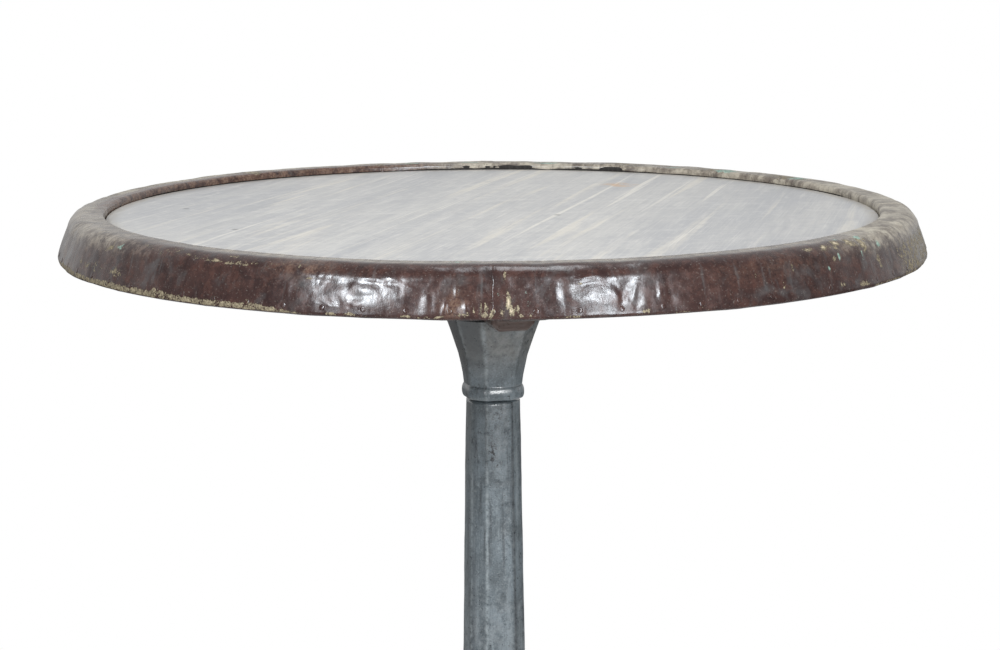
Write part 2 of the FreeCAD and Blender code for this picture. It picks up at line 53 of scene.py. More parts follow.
# ---- the view ----
CAMERA_POLAR = -105.5       # polar angle of the camera about the table's axis, degrees
CAMERA_DISTANCE = 2.6       # from the axis, level
CAMERA_RISE = 0.3323        # above the marble
CAMERA_PITCH = 9.57         # degrees below level
CAMERA_ROLL = 0.2           # degrees
FOCAL_SHARE = 2.821         # focal length over picture width
CENTRE_SHIFT = 0.0072       # how far left of the middle the table stands, over picture width

# ---- the rim's section, as in the CAD ----
MARBLE_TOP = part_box("marble_slab")[1].z
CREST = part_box("rim_cladding_1")[1].z
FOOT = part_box("rim_cladding_1")[0].z
TOP_RADIUS = 0.4
LIP_RADIUS = 0.3567
LIP_DEPTH = 0.008
LIP_ROUND = 0.004
SHOULDER_ROUND = 0.0176
FOOT_ROUND = 0.003
SIDE_LEAN = math.radians(17.7)
RETURN_RADIUS = 0.374
SHEET = 0.0009
RIM_STEP = 0.0015           # spacing of the rim's mesh
SEAMS = (1.7, 91.7, 181.7, 271.7)   # bearings where one sheet ends under the next
LAP = 1.8                   # degrees that each sheet laps over the one before
LOOSE_EDGE = 168.0          # bearing of the middle of the stretch where the inner edge has come up
GIRTH = 2 * math.pi * TOP_RADIUS / MM     # mm round the rim

FIRST_TACK = 25.0           # bearing of one tack of the side row, degrees
TACK_SPACING = 5.0
TACK_RISE = 5.9             # mm up the side from the lower corner
TACK_COUNT = 72
TACK_SIDES = 16             # faces round each tack
TACK_PROFILE = ((0.0, 0.3), (1.3, 0.26), (2.2, 0.12), (2.6, -0.12), (0.9, -0.35), (0.9, -11.0),
                (0.1, -12.0))       # (radius, height above the skin) from the head to the point, mm
RINGED_TACK = 27.5          # bearing of the middle of the tacks that show a pale ring
LIP_STEP = 2e-5             # m between the lip's lowest rows, so that no two rows coincide
HAMMER_MARKS = 460          # shallow hollows scattered over the whole rim
RELIEF_FLOOR = -0.95        # mm; the skin never sinks into the felloes behind it
FLOOR_EASE = 0.12           # mm; how gently the skin meets that limit
RELIEF_LIFT = 0.7           # mm that the whole skin stands proud, for the same reason

# Heights up the section, in mm along the skin from the lower corner.
SIDE_END = 24.0
CREST_START = 47.0
LIP_START = 60.0
LIP_END = 67.0


# ---- small numerical helpers ----
def smooth(low, high, value):
    """0 below low, 1 above high, with an eased step between."""
    t = np.clip((value - low) / (high - low), 0.0, 1.0)
    return t * t * (3.0 - 2.0 * t)


def span(value, start, low, high, end):
    """1 between low and high, easing off to 0 at start and at end."""
    return smooth(start, low, value) * smooth(end, high, value)


def near(value, centre, width):
    """A bell of height 1 at centre."""
    return np.exp(-((value - centre) / width) ** 2)


def apart(bearing, centre):
    """Signed difference of bearings, in degrees."""
    return (bearing - centre + 180.0) % 360.0 - 180.0


def hashed(column, row, seed):
    """A repeatable number in -1..1 for each lattice point."""
    n = (column.astype(np.int64) * 374761393 + row.astype(np.int64) * 668265263
         + seed * 2246822519) & 0xFFFFFFFF
    n = ((n ^ (n >> 13)) * 1274126177) & 0xFFFFFFFF
    n = ((n ^ (n >> 16)) * 2654435761) & 0xFFFFFFFF
    return (n ^ (n >> 15)) / 2147483647.5 - 1.0


def ripple(x, y, seed, around=0):
    """Smooth noise in -1..1 at lattice coordinates x, y.  x repeats after `around` cells."""
    column, row = np.floor(x), np.floor(y)
    fx, fy = smooth(0, 1, x - column), smooth(0, 1, y - row)

    def corner(dx, dy):
        c = column + dx
        return hashed(c % around if around else c, row + dy, seed)
    low = corner(0, 0) * (1 - fx) + corner(1, 0) * fx
    high = corner(0, 1) * (1 - fx) + corner(1, 1) * fx
    return low * (1 - fy) + high * fy


def rim_ripple(bearing, rise, cell, seed, tall=1.0):
    """ripple() over the rim's skin, with cells `cell` mm long and `tall` times as high."""
    around = round(GIRTH / cell)
    return ripple((bearing % 360.0) / 360.0 * around, rise / (cell * tall) + 50.0, seed, around)


def rim_wave(bearing, long, short, seed):
    """An uneven line along the rim: a long ripple with a shorter one on it."""
    level = np.zeros_like(bearing)
    return rim_ripple(bearing, level, long, seed) + 0.6 * rim_ripple(bearing, level, short, seed + 1)


# ---- meshes ----
def add_object(name, data):
    """New object in the scene, holding a mesh, a light or a camera."""
    obj = bpy.data.objects.new(name, data)
    bpy.context.scene.collection.objects.link(obj)
    return obj


def add_mesh(name, verts, faces):
    mesh = bpy.data.meshes.new(name)
    mesh.from_pydata(verts, [], faces)
    mesh.update()
    mesh.shade_smooth()
    return add_object(name, mesh)


def grid_mesh(name, rows, loop=False, caps=False, back=None):
    """Mesh object from an array of points [row, column, xyz].

    loop closes each row on itself; caps closes the first and last rows with flat faces; back is a second
    array, joined to the first round the edges, that makes a closed sheet.
    """
    count, width = rows.shape[:2]
    verts = rows.reshape(-1, 3)
    index = np.arange(count * width).reshape(count, width)
    if loop:
        index = np.hstack([index, index[:, :1]])

    def quads(ids):
        return np.stack([ids[:-1, :-1], ids[:-1, 1:], ids[1:, 1:], ids[1:, :-1]], -1).reshape(-1, 4)
    faces = quads(index).tolist()
    if caps:
        faces.append(index[0, :-1][::-1].tolist())
        faces.append(index[-1, :-1].tolist())
    if back is not None:
        under = index + len(verts)
        verts = np.vstack([verts, back.reshape(-1, 3)])
        faces += quads(under)[:, ::-1].tolist()
        front_edge = np.concatenate([index[0, :-1], index[:-1, -1], index[-1, :0:-1], index[:0:-1, 0]])
        back_edge = np.concatenate([under[0, :-1], under[:-1, -1], under[-1, :0:-1], under[:0:-1, 0]])
        faces += np.stack([np.roll(front_edge, -1), front_edge, back_edge, np.roll(back_edge, -1)],
                          -1).tolist()
    return add_mesh(name, verts.tolist(), faces)


def paint_by_vertex(obj, name, values):
    """Stores one number at each vertex, for a material to read."""
    layer = obj.data.attributes.new(name, "FLOAT", "POINT")
    layer.data.foreach_set("value", np.ascontiguousarray(values, np.float32).ravel())


def unwrap(obj, u, v):
    """UV map from one u and one v for each vertex."""
    layer = obj.data.uv_layers.new(name="UVMap")
    corner = np.zeros(len(obj.data.loops), np.int64)
    obj.data.loops.foreach_get("vertex_index", corner)
    layer.data.foreach_set("uv", np.stack([u[corner], v[corner]], -1).astype(np.float32).ravel())


# ---- shader helpers ----
def node(tree, kind, inputs=(), **settings):
    """Adds a shader node.  Each input is a constant or another node's output."""
    made = tree.nodes.new("ShaderNode" + kind)
    for key, value in settings.items():
        setattr(made, key, value)
    for key, value in dict(inputs).items():
        if isinstance(value, bpy.types.NodeSocket):
            tree.links.new(value, made.inputs[key])
        else:
            made.inputs[key].default_value = value
    return made


class Shader:
    """A Principled material, with the few kinds of node that these materials are made of."""

    def __init__(self, name):
        self.material = bpy.data.materials.new(name)
        self.material.use_nodes = True
        self.tree = self.material.node_tree
        self.shader = self.tree.nodes["Principled BSDF"]
        self.place = node(self.tree, "TexCoord").outputs["Object"]

    def add(self, kind, inputs=(), **settings):
        return node(self.tree, kind, inputs, **settings)

    def stretched(self, scale, turn=0.0, shift=(0, 0, 0), place=None):
        """Coordinates turned by `turn` degrees about Z, then scaled."""
        turned = self.add("VectorRotate", {"Vector": place or self.place,
                                           "Angle": math.radians(turn)}, rotation_type="Z_AXIS")
        return self.add("Mapping", {"Vector": turned.outputs[0], "Location": shift, "Scale": scale}
                        ).outputs[0]

    def noise(self, scale, detail=4.0, rough=0.55, place=None, warp=0.0):
        return self.add("TexNoise", {"Vector": place or self.place, "Scale": scale, "Detail": detail,
                                     "Roughness": rough, "Distortion": warp}).outputs["Fac"]

    def math(self, operation, a, b=0.0):
        return self.add("Math", {0: a, 1: b}, operation=operation).outputs[0]

    def step(self, value, low, high, to_low=0.0, to_high=1.0):
        """Eased step of value between low and high."""
        return self.add("MapRange", {"Value": value, "From Min": low, "From Max": high,
                                     "To Min": to_low, "To Max": to_high},
                        interpolation_type="SMOOTHSTEP").outputs[0]

    def mix(self, factor, a, b, blend="MIX"):
        a, b = (c if isinstance(c, bpy.types.NodeSocket) else (*c, 1.0) for c in (a, b))
        return self.add("Mix", {0: factor, 6: a, 7: b}, data_type="RGBA", blend_type=blend).outputs[2]

    def tint(self, colour, *tints):
        """Colour after each tint in turn, as (value, low, high, amount, toward): it is mixed by up to
        amount towards another colour as value goes from low to high."""
        for value, low, high, amount, toward in tints:
            colour = self.mix(self.step(value, low, high, 0.0, amount), colour, toward)
        return colour

    def product(self, *factors):
        """All the factors multiplied together."""
        result = factors[0]
        for factor in factors[1:]:
            result = self.math("MULTIPLY", result, factor)
        return result

    def attribute(self, name):
        return self.add("Attribute", attribute_name=name).outputs["Fac"]

    def from_axis(self):
        """Distance from the table's axis."""
        level = self.add("VectorMath", {0: self.place, 1: (1, 1, 0)}, operation="MULTIPLY").outputs[0]
        return self.add("VectorMath", {0: level}, operation="LENGTH").outputs["Value"]

    def spot(self, centre, radius):
        """1 at a place on the object, falling to 0 at radius."""
        gap = self.add("VectorMath", {0: self.place, 1: centre}, operation="DISTANCE").outputs["Value"]
        return self.step(gap, radius, radius * 0.3)

    def bumps(self, *layers):
        """Bump layers as (height, distance in metres, strength), one over the other."""
        normal = None
        for height, distance, strength in layers:
            inputs = {"Height": height, "Distance": distance, "Strength": strength}
            if normal is not None:
                inputs["Normal"] = normal
            normal = self.add("Bump", inputs).outputs[0]
        self.tree.links.new(normal, self.shader.inputs["Normal"])

    def finish(self, **values):
        for key, value in values.items():
            socket = self.shader.inputs[key.replace("_", " ")]
            if isinstance(value, bpy.types.NodeSocket):
                self.tree.links.new(value, socket)
            else:
                socket.default_value = value
        return self.material


# ---- materials ----
FAN_RIGHT = 1.2             # where the marble's streaks would meet: metres right of the table's middle,
FAN_REACH = 4.24            # and metres beyond it


def on_marble(right, away):
    """Place on the marble, from distances right of and beyond its middle as the camera sees it."""
    a = math.radians(CAMERA_POLAR)
    return (-math.sin(a) * right - math.cos(a) * away, math.cos(a) * right - math.sin(a) * away,
            MARBLE_TOP)


def marble_material():
    """Grey marble.  Its streaks are noise in polar coordinates about the distant centre of their fan."""
    s = Shader("marble")
    centre = on_marble(FAN_RIGHT, FAN_REACH)
    gap = s.add("VectorMath", {0: s.place, 1: centre}, operation="SUBTRACT").outputs[0]
    gap = s.add("SeparateXYZ", {0: gap}).outputs
    ray = s.product(s.math("ARCTAN2", gap[0], s.product(gap[1], -1.0)), FAN_REACH)
    length = s.add("VectorMath", {0: s.place, 1: centre}, operation="DISTANCE").outputs[1]
    fan = s.add("CombineXYZ", {0: length, 1: ray}).outputs[0]

    def streaks(scale, narrow, detail, rough, shift, warp=0.4):
        place = s.add("Mapping", {"Vector": fan, "Location": shift, "Scale": (1.0, narrow, 1.0)})
        return s.noise(scale, detail, rough, place.outputs[0], warp)
    wide = streaks(1.4, 7.0, 5.0, 0.62, (0, 0, 0), 0.6)
    bands = streaks(3.0, 10.0, 7.0, 0.7, (3.1, 0.7, 0))
    fine = streaks(9.0, 15.0, 6.0, 0.75, (0.4, 1.9, 0), 0.2)
    hair = streaks(7.0, 110.0, 5.0, 0.75, (0.9, 0.2, 0), 0.1)
    cream = streaks(1.5, 26.0, 6.0, 0.66, (7.0, 2.2, 0))
    veins = streaks(1.1, 60.0, 3.0, 0.6, (2.0, 4.2, 0), 0.3)
    saw = s.noise(9, 5, 0.72, s.stretched((1.0, 7.0, 1.0), -8))
    cloud = s.noise(75, 6, 0.75)
    colour = s.mix(s.step(wide, 0.38, 0.62), (0.43, 0.44, 0.455), (0.545, 0.545, 0.535))
    colour = s.tint(
        colour,
        (bands, 0.48, 0.68, 0.6, (0.6, 0.598, 0.582)),
        (bands, 0.47, 0.3, 0.6, (0.375, 0.388, 0.408)),
        (fine, 0.52, 0.66, 0.5, (0.7, 0.69, 0.665)),
        (fine, 0.48, 0.34, 0.5, (0.41, 0.42, 0.44)),
        (cream, 0.55, 0.66, 0.7, (0.74, 0.705, 0.625)),
        (veins, 0.625, 0.67, 0.75, (0.8, 0.775, 0.71)),
        (hair, 0.52, 0.66, 0.48, (0.73, 0.72, 0.69)),
        (hair, 0.48, 0.34, 0.48, (0.39, 0.4, 0.42)),
        (saw, 0.54, 0.68, 0.32, (0.71, 0.7, 0.68)),
        (saw, 0.45, 0.32, 0.32, (0.41, 0.42, 0.44)),
        (cloud, 0.52, 0.66, 0.36, (0.7, 0.69, 0.665)),
        (cloud, 0.47, 0.34, 0.36, (0.38, 0.39, 0.41)),
    )
    right_hand = on_marble(1.0, 0.0)[:2] + (0.0,)
    across = s.add("VectorMath", {0: s.place, 1: right_hand}, operation="DOT_PRODUCT").outputs["Value"]
    colour = s.tint(colour, (across, 0.05, 0.3, 0.2, (0.28, 0.29, 0.31)))
    rust = s.product(s.spot(on_marble(0.128, 0.215), 0.024), s.step(cloud, 0.42, 0.58), 0.75)
    colour = s.mix(rust, colour, (0.6, 0.36, 0.16))
    for right, away in ((-0.288, 0.035), (-0.229, -0.113), (0.06, -0.02)):
        speck = s.product(s.spot(on_marble(right, away), 0.0045), 0.7)
        colour = s.mix(speck, colour, (0.06, 0.06, 0.07))
    grime = s.product(s.step(s.from_axis(), 0.34, 0.356), s.step(cloud, 0.35, 0.6, 0.25, 0.75))
    colour = s.mix(grime, colour, (0.3, 0.27, 0.22))
    s.bumps((saw, 0.0002, 0.25), (hair, 0.0001, 0.2), (s.noise(700, 2), 0.00005, 0.3))
    return s.finish(Base_Color=colour, Roughness=s.step(wide, 0.3, 0.7, 0.34, 0.46),
                    Specular_IOR_Level=0.4)


def rim_material():
    """Dark oxide paint on metal: greyed by weather and by a painted sheen of reflected light, chipped to
    its khaki ground, and green with copper salts.
    """
    s = Shader("rim_paint")
    skin = s.add("UVMap", uv_map="UVMap").outputs[0]
    runs = s.noise(1, 5, 0.6, s.stretched((150, 22, 1), place=skin))
    patches = s.noise(26, 5, 0.6, warp=0.4)
    haze = s.noise(40, 4, 0.6, warp=0.6)
    mottle = s.noise(120, 5, 0.65)
    grain = s.noise(520, 4, 0.6)
    coarse, crumbs = s.noise(170, 5, 0.72), s.noise(700, 3, 0.6)
    ragged = s.math("ADD", s.product(coarse, 0.6), s.product(crumbs, 0.4))
    weather_and_sheen = s.attribute("weather_and_sheen")

    def frayed(weight, noise, amount):
        """A vertex weight with its outline broken up by noise."""
        return s.math("ADD", s.attribute(weight), s.product(s.math("SUBTRACT", noise, 0.5), amount))
    bare = frayed("bare", ragged, 3.8)
    green = frayed("green", s.noise(190, 5, 0.7), 2.2)

    colour = s.mix(s.step(patches, 0.34, 0.66), (0.026, 0.0125, 0.0115), (0.048, 0.0235, 0.02))
    colour = s.tint(
        colour,
        (mottle, 0.42, 0.7, 0.6, (0.085, 0.036, 0.026)),
        (haze, 0.5, 0.72, 0.5, (0.09, 0.092, 0.094)),
        (runs, 0.55, 0.76, 0.45, (0.105, 0.112, 0.115)),
        (runs, 0.44, 0.24, 0.5, (0.02, 0.011, 0.01)),
    )
    rusty = s.product(s.attribute("rust"), s.step(mottle, 0.3, 0.6))
    brown = s.mix(s.step(grain, 0.4, 0.65), (0.112, 0.06, 0.045), (0.19, 0.125, 0.088))
    colour = s.mix(rusty, colour, brown)
    # the grey of the ends, the far side and the crest: partly weathered paint, partly a painted sheen of
    # reflected light
    dust_and_sheen = s.mix(s.step(patches, 0.35, 0.65), (0.17, 0.143, 0.118), (0.46, 0.422, 0.345))
    dust_and_sheen = s.tint(
        dust_and_sheen,
        (mottle, 0.45, 0.62, 0.6, (0.59, 0.55, 0.45)),
        (runs, 0.5, 0.32, 0.65, (0.06, 0.044, 0.036)),
    )
    greying_field = s.math("ADD", mottle, s.product(weather_and_sheen, 0.35))
    unrusted = s.math("SUBTRACT", 1.0, s.product(rusty, 0.8))
    greyed_and_sheen = s.product(weather_and_sheen, s.step(greying_field, 0.44, 0.74, 0.2, 1.0), unrusted)
    colour = s.mix(greyed_and_sheen, colour, dust_and_sheen)
    colour = s.tint(
        colour,
        (s.noise(620, 3, 0.6), 0.6, 0.7, 0.4, (0.24, 0.22, 0.2)),
        (grain, 0.45, 0.32, 0.5, (0.012, 0.007, 0.006)),
    )
    shown = s.step(bare, 0.98, 1.06)
    colour = s.tint(colour, (bare, 0.8, 0.96, 0.65, (0.026, 0.016, 0.012)))
    stripped = s.mix(s.step(grain, 0.38, 0.66), (0.13, 0.105, 0.066), (0.33, 0.285, 0.19))
    cream = s.product(s.step(s.attribute("bare"), 1.2, 1.36), s.step(bare, 1.15, 1.5))
    stripped = s.mix(cream, stripped, (0.54, 0.47, 0.34))
    colour = s.mix(shown, colour, stripped)
    turned = s.step(green, 0.94, 1.12, 0.0, 0.85)
    verdigris = s.mix(s.step(grain, 0.35, 0.65), (0.12, 0.235, 0.195), (0.38, 0.52, 0.45))
    colour = s.mix(turned, colour, verdigris)
    gloss = s.step(mottle, 0.3, 0.72, 0.2, 0.31)
    matt = s.math("MAXIMUM", s.product(s.math("MAXIMUM", shown, turned), 0.68), s.product(greyed_and_sheen, 0.46))
    scraped = s.noise(1, 3, 0.6, s.stretched((420, 60, 1), place=skin))
    s.bumps((s.noise(48, 1, 0.4, warp=0.8), 0.0022, 0.35), (s.noise(130, 1, 0.5), 0.0006, 0.28),
            (s.noise(560, 1, 0.5), 0.00018, 0.3), (scraped, 0.0002, 0.15), (shown, 0.00022, -0.8))
    return s.finish(Base_Color=colour, Roughness=s.math("MAXIMUM", gloss, matt),
                    Specular_IOR_Level=0.55, Specular_Tint=(0.88, 0.94, 1.0, 1.0))


def iron_material(name):
    """Blue-grey waxed paint on rough castings, lighter along the arrises with wear and a painted highlight;
    the column's weights also paint shade and a highlight in.
    """
    s = Shader(name)
    runs = s.noise(1, 5, 0.6, s.stretched((120, 120, 9)))
    cloud = s.noise(30, 5, 0.62, warp=0.5)
    mottle = s.noise(150, 5, 0.7)
    grain = s.noise(640, 3, 0.65)
    pits = s.noise(420, 2, 0.6)
    colour = s.mix(s.step(cloud, 0.34, 0.66), (0.088, 0.11, 0.124), (0.172, 0.212, 0.24))
    colour = s.tint(
        colour,
        (mottle, 0.52, 0.72, 0.6, (0.27, 0.31, 0.335)),
        (mottle, 0.46, 0.32, 0.55, (0.058, 0.068, 0.075)),
        (runs, 0.53, 0.7, 0.7, (0.25, 0.292, 0.318)),
        (runs, 0.47, 0.32, 0.85, (0.045, 0.055, 0.064)),
        (grain, 0.54, 0.7, 0.5, (0.3, 0.34, 0.36)),
        (grain, 0.46, 0.3, 0.55, (0.03, 0.036, 0.042)),
    )
    # scuffs low on the shaft, and a painted highlight down the shaft right of its middle
    scuff_and_highlight_mix = s.product(s.attribute("scuffs_and_highlight"), s.step(mottle, 0.44, 0.6, 0.0, 0.35))
    colour = s.mix(scuff_and_highlight_mix, colour, (0.27, 0.3, 0.32))
    dull = s.product(s.attribute("dull"), s.step(cloud, 0.35, 0.6, 0.25, 0.85))
    grey = s.mix(s.step(mottle, 0.4, 0.6), (0.1, 0.104, 0.102), (0.185, 0.187, 0.18))
    colour = s.mix(dull, colour, grey)
    # painted shade, mixed towards near black
    colour = s.mix(s.product(s.attribute("painted_shade"), 0.8), colour, (0.03, 0.036, 0.042))
    # worn corners, with a painted highlight on the corner nearest the camera
    rubbed_and_highlight = s.product(s.attribute("arris_wear_and_highlight"), s.step(mottle, 0.36, 0.62), 0.75)
    colour = s.mix(rubbed_and_highlight, colour, (0.3, 0.34, 0.36))
    patchy = s.math("ADD", pits, s.product(s.noise(22, 2), 0.32))
    colour = s.tint(colour, (patchy, 0.82, 0.88, 0.9, (0.014, 0.016, 0.02)))
    pocks = s.product(s.attribute("pitted"), s.step(s.noise(250, 4, 0.75), 0.51, 0.55))
    colour = s.mix(pocks, colour, (0.016, 0.019, 0.024))
    rust = s.step(s.noise(85, 4, 0.75), 0.735, 0.79, 0.0, 0.8)
    colour = s.mix(rust, colour, (0.18, 0.085, 0.045))
    rim_colour = s.mix(mottle, (0.044, 0.024, 0.018), (0.095, 0.054, 0.042))
    colour = s.mix(s.attribute("overpaint"), colour, rim_colour)
    s.bumps((cloud, 0.0022, 0.25), (mottle, 0.0007, 0.28), (grain, 0.00016, 0.5), (pits, 0.0003, -0.3))
    return s.finish(Base_Color=colour, Roughness=s.step(mottle, 0.28, 0.72, 0.26, 0.38),
                    Specular_IOR_Level=0.6, Coat_Weight=0.5, Coat_Roughness=0.12)


def wood_material(name, painted_gap_shade=False):
    """Old oak; with the flag set, the felloes' inner wall, seen under the sheet's loose edge, is painted
    black as shade.
    """
    s = Shader(name)
    fibres = s.noise(1, 6, 0.65, s.stretched((420, 14, 60)), warp=0.3)
    rings = s.noise(1, 4, 0.55, s.stretched((46, 1.6, 20)), warp=0.9)
    stain = s.noise(9, 4, 0.6)
    colour = s.mix(s.step(rings, 0.36, 0.64), (0.115, 0.066, 0.035), (0.235, 0.15, 0.085))
    colour = s.tint(
        colour,
        (fibres, 0.52, 0.3, 0.7, (0.05, 0.03, 0.018)),
        (stain, 0.5, 0.75, 0.5, (0.085, 0.062, 0.045)),
    )
    if painted_gap_shade:
        # painted shade: the inner wall goes black where it lies in the shadowed gap under the sheet's loose
        # edge
        gap_shade_mask = s.step(s.from_axis(), 0.364, 0.3585)
        colour = s.mix(gap_shade_mask, colour, s.mix(fibres, (0.006, 0.005, 0.005), (0.02, 0.017, 0.015)))
    s.bumps((fibres, 0.0005, 0.6), (rings, 0.001, 0.3))
    return s.finish(Base_Color=colour, Roughness=s.step(fibres, 0.3, 0.7, 0.82, 0.62))


def steel_material(name, dark, light, rust_amount):
    """Dull zinc or blackened steel with some rust."""
    s = Shader(name)
    cloud = s.noise(120, 5, 0.65)
    scratches = s.noise(1, 3, 0.6, s.stretched((900, 900, 130), 35))
    rust = s.step(s.noise(210, 5, 0.7), 0.66 - rust_amount, 0.74 - rust_amount)
    colour = s.mix(s.step(cloud, 0.35, 0.65), dark, light)
    colour = s.mix(rust, colour, s.mix(cloud, (0.1, 0.035, 0.014), (0.26, 0.11, 0.045)))
    s.bumps((scratches, 0.00008, 0.4), (cloud, 0.0003, 0.3))
    return s.finish(Base_Color=colour, Metallic=s.step(rust, 0.2, 0.8, 0.85, 0.05),
                    Roughness=s.step(cloud, 0.3, 0.7, 0.3, 0.52))


def tack_material():
    s = Shader("tack_paint")
    worn = s.noise(700, 3, 0.6)
    patch = s.noise(45, 3, 0.6)
    colour = s.mix(s.step(patch, 0.4, 0.6), (0.05, 0.024, 0.018), (0.088, 0.05, 0.04))
    colour = s.tint(colour, (worn, 0.56, 0.66, 0.8, (0.3, 0.25, 0.18)))
    s.bumps((worn, 0.0001, 0.5))
    return s.finish(Base_Color=colour, Roughness=s.step(worn, 0.4, 0.7, 0.3, 0.6))


def putty_material():
    s = Shader("old_putty")
    crumbs = s.noise(260, 5, 0.7)
    colour = s.mix(s.step(crumbs, 0.35, 0.65), (0.12, 0.1, 0.075), (0.3, 0.26, 0.2))
    s.bumps((crumbs, 0.0005, 0.6))
    return s.finish(Base_Color=colour, Roughness=s.step(crumbs, 0.3, 0.7, 0.95, 0.75))


def rubber_material():
    s = Shader("sole_rubber")
    scuff_and_highlight_mix = s.noise(160, 5, 0.65)
    colour = s.mix(s.step(scuff_and_highlight_mix, 0.5, 0.72), (0.014, 0.014, 0.015), (0.075, 0.07, 0.064))
    s.bumps((scuff_and_highlight_mix, 0.0002, 0.5))
    return s.finish(Base_Color=colour, Roughness=s.step(scuff_and_highlight_mix, 0.3, 0.7, 0.62, 0.85))


# ---- the rim ----
def rim_section():
    """Points (r, z), outward normals and rise of the rim's section, from the lip beside the marble over
    the crest and down to the turned-under edge.  Rise is in mm up the section from the lower corner."""
    shoulder_z = CREST - SHOULDER_ROUND
    foot = np.array([TOP_RADIUS - FOOT_ROUND, FOOT + FOOT_ROUND])
    shoulder = np.array([foot[0] - (shoulder_z - foot[1]) * math.tan(SIDE_LEAN)
                         - (SHOULDER_ROUND - FOOT_ROUND) / math.cos(SIDE_LEAN), shoulder_z])
    lip = np.array([LIP_RADIUS + LIP_ROUND, CREST - LIP_ROUND])

    def bow(centre, radius, start, end):
        t = np.linspace(start, end, 24)
        return centre + radius * np.stack([np.cos(t), np.sin(t)], -1)
    path = np.vstack([[[LIP_RADIUS, MARBLE_TOP - LIP_DEPTH]],
                      bow(lip, LIP_ROUND, math.pi, math.pi / 2),
                      bow(shoulder, SHOULDER_ROUND, math.pi / 2, SIDE_LEAN),
                      bow(foot, FOOT_ROUND, SIDE_LEAN, -math.pi / 2),
                      [[RETURN_RADIUS, FOOT]]])
    run = np.concatenate([[0.0], np.cumsum(np.linalg.norm(np.diff(path, axis=0), axis=1))])
    at = np.linspace(0.0, run[-1], int(run[-1] / RIM_STEP) + 1)
    points = np.stack([np.interp(at, run, path[:, 0]), np.interp(at, run, path[:, 1])], -1)
    along = np.gradient(points, axis=0)
    along /= np.linalg.norm(along, axis=1)[:, None]
    normals = np.stack([-along[:, 1], along[:, 0]], -1)
    corner = at[np.argmax(points[:, 0])]
    return points, normals, (corner - at) / MM


def dented(bearing, rise, relief, count, seed):
    """Hammer marks: shallow round hollows scattered over the rim."""
    rng = np.random.default_rng(seed)
    steps = bearing[0]
    for _ in range(count):
        centre, height = rng.uniform(0, 360), rng.uniform(-4, 60)
        half = rng.uniform(6.0, 15.0)
        depth = rng.uniform(0.1, 0.34)
        inside = np.abs(apart(steps, centre)) * GIRTH / 360.0 < 2.6 * half
        if not inside.any():
            continue
        across = apart(bearing[:, inside], centre) * GIRTH / 360.0
        gap = (across / half) ** 2 + ((rise[:, inside] - height) / (half * 1.25)) ** 2
        relief[:, inside] -= depth * np.exp(-gap)


FLAT_MIDDLE = 12.5          # height of the middle of each flat, mm up the side
FLAT_HALF_HEIGHT = 17.0
FLAT_EASE = 0.13            # mm; softness of a flat's outline
SIDE_BULGE = 0.55           # mm by which the side bellies out in the middle of its height
SPOTS = ((-15.3, 6.0), (13.5, 7.0))     # bearings and half-widths of the two bright spots, degrees
# Flats beaten into the side, as (first bearing, last bearing, how flat).
FLATS = (
    (-121, -110, 0.5), (-98, -88, 0.6), (-78, -69, 0.5), (-62, -53, 0.5), (-52.5, -44, 0.6),
    (-43, -36.5, 0.5), (-36, -27.5, 0.7), (-27, -21.6, 0.45), (-9.8, -6.9, 0.12), (-6.2, -1.8, 0.4),
    (0.2, 6.4, 0.3), (8.4, 15.6, 0.35), (16.2, 20.6, 0.5), (22, 29.5, 0.6), (30.5, 36, 0.5),
    (37, 45, 0.6), (46, 53, 0.5), (54, 64, 0.5), (72, 84, 0.5), (96, 105, 0.6), (118, 129, 0.5),
)

# Marks that stand out, as (bearing, rise, half-width along, half-height, height in mm, slant in degrees).
MARKS = (
    # the drop-shaped dent with its crack
    (-4.3, 8, 6.5, 9, -1.1, 0), (-4.3, 0.5, 6.5, 2, 0.7, 0), (-5.5, 8, 1.5, 7, 0.75, -14),
    (-3, 8, 1.5, 7.5, 0.75, 12), (-4.2, 22, 1.1, 7, 0.7, 0),
    # the crescent and dimples in the left bright flat
    (-15, 16, 12, 3, -0.34, 6), (-15.4, 23, 15, 4, 0.22, -6), (-15.6, 8, 12, 3.2, 0.2, 0),
    (-16.7, 8.2, 1.7, 1.5, -0.5, 0), (-15.3, 6.2, 1.8, 1.4, -0.5, 0), (-14.1, 4.9, 1.4, 1.1, -0.4, 0),
    # the spot's pillow, a fold left of it, and the creases at its top and right
    (-20.2, 12, 5, 9, -0.12, 8), (-15.3, 13, 25, 11, 0.32, 0), (-24.6, 13, 2.4, 12, 0.4, 0),
    (-14.6, 31, 14, 1.6, 0.3, -8), (-10.2, 26, 14, 1.4, 0.3, -24), (-10.7, 20, 2.2, 9, -0.14, 0),
    (-7.6, 15, 2.6, 9, 0.22, 0), (-6.6, 9, 2, 6, 0.2, 0), (-8.4, 12, 2.6, 8, -0.15, 0),
    # folds and ridges of the right bright flat
    (7.3, 19, 2.4, 9, 0.28, 4), (8.3, 15, 2, 11, -0.22, 3), (9.2, 17, 1.6, 8, 0.12, 0),
    (10.6, 31, 10, 1.5, 0.55, 14), (15.2, 16, 2.8, 11, -0.62, -14), (16.6, 17, 2.2, 10, 0.42, -16),
    (17.8, 9, 3.2, 5, 0.3, -20), (19.8, 18, 1.5, 7, 0.35, 0), (11.9, 14, 20, 10, 0.32, 0),
    # the scratched edge of the lap
    (-0.25, 20, 0.8, 15, 0.22, 0), (3.8, 26, 5, 2, 0.25, -20), (2, 12, 4, 9, -0.25, 0),
)


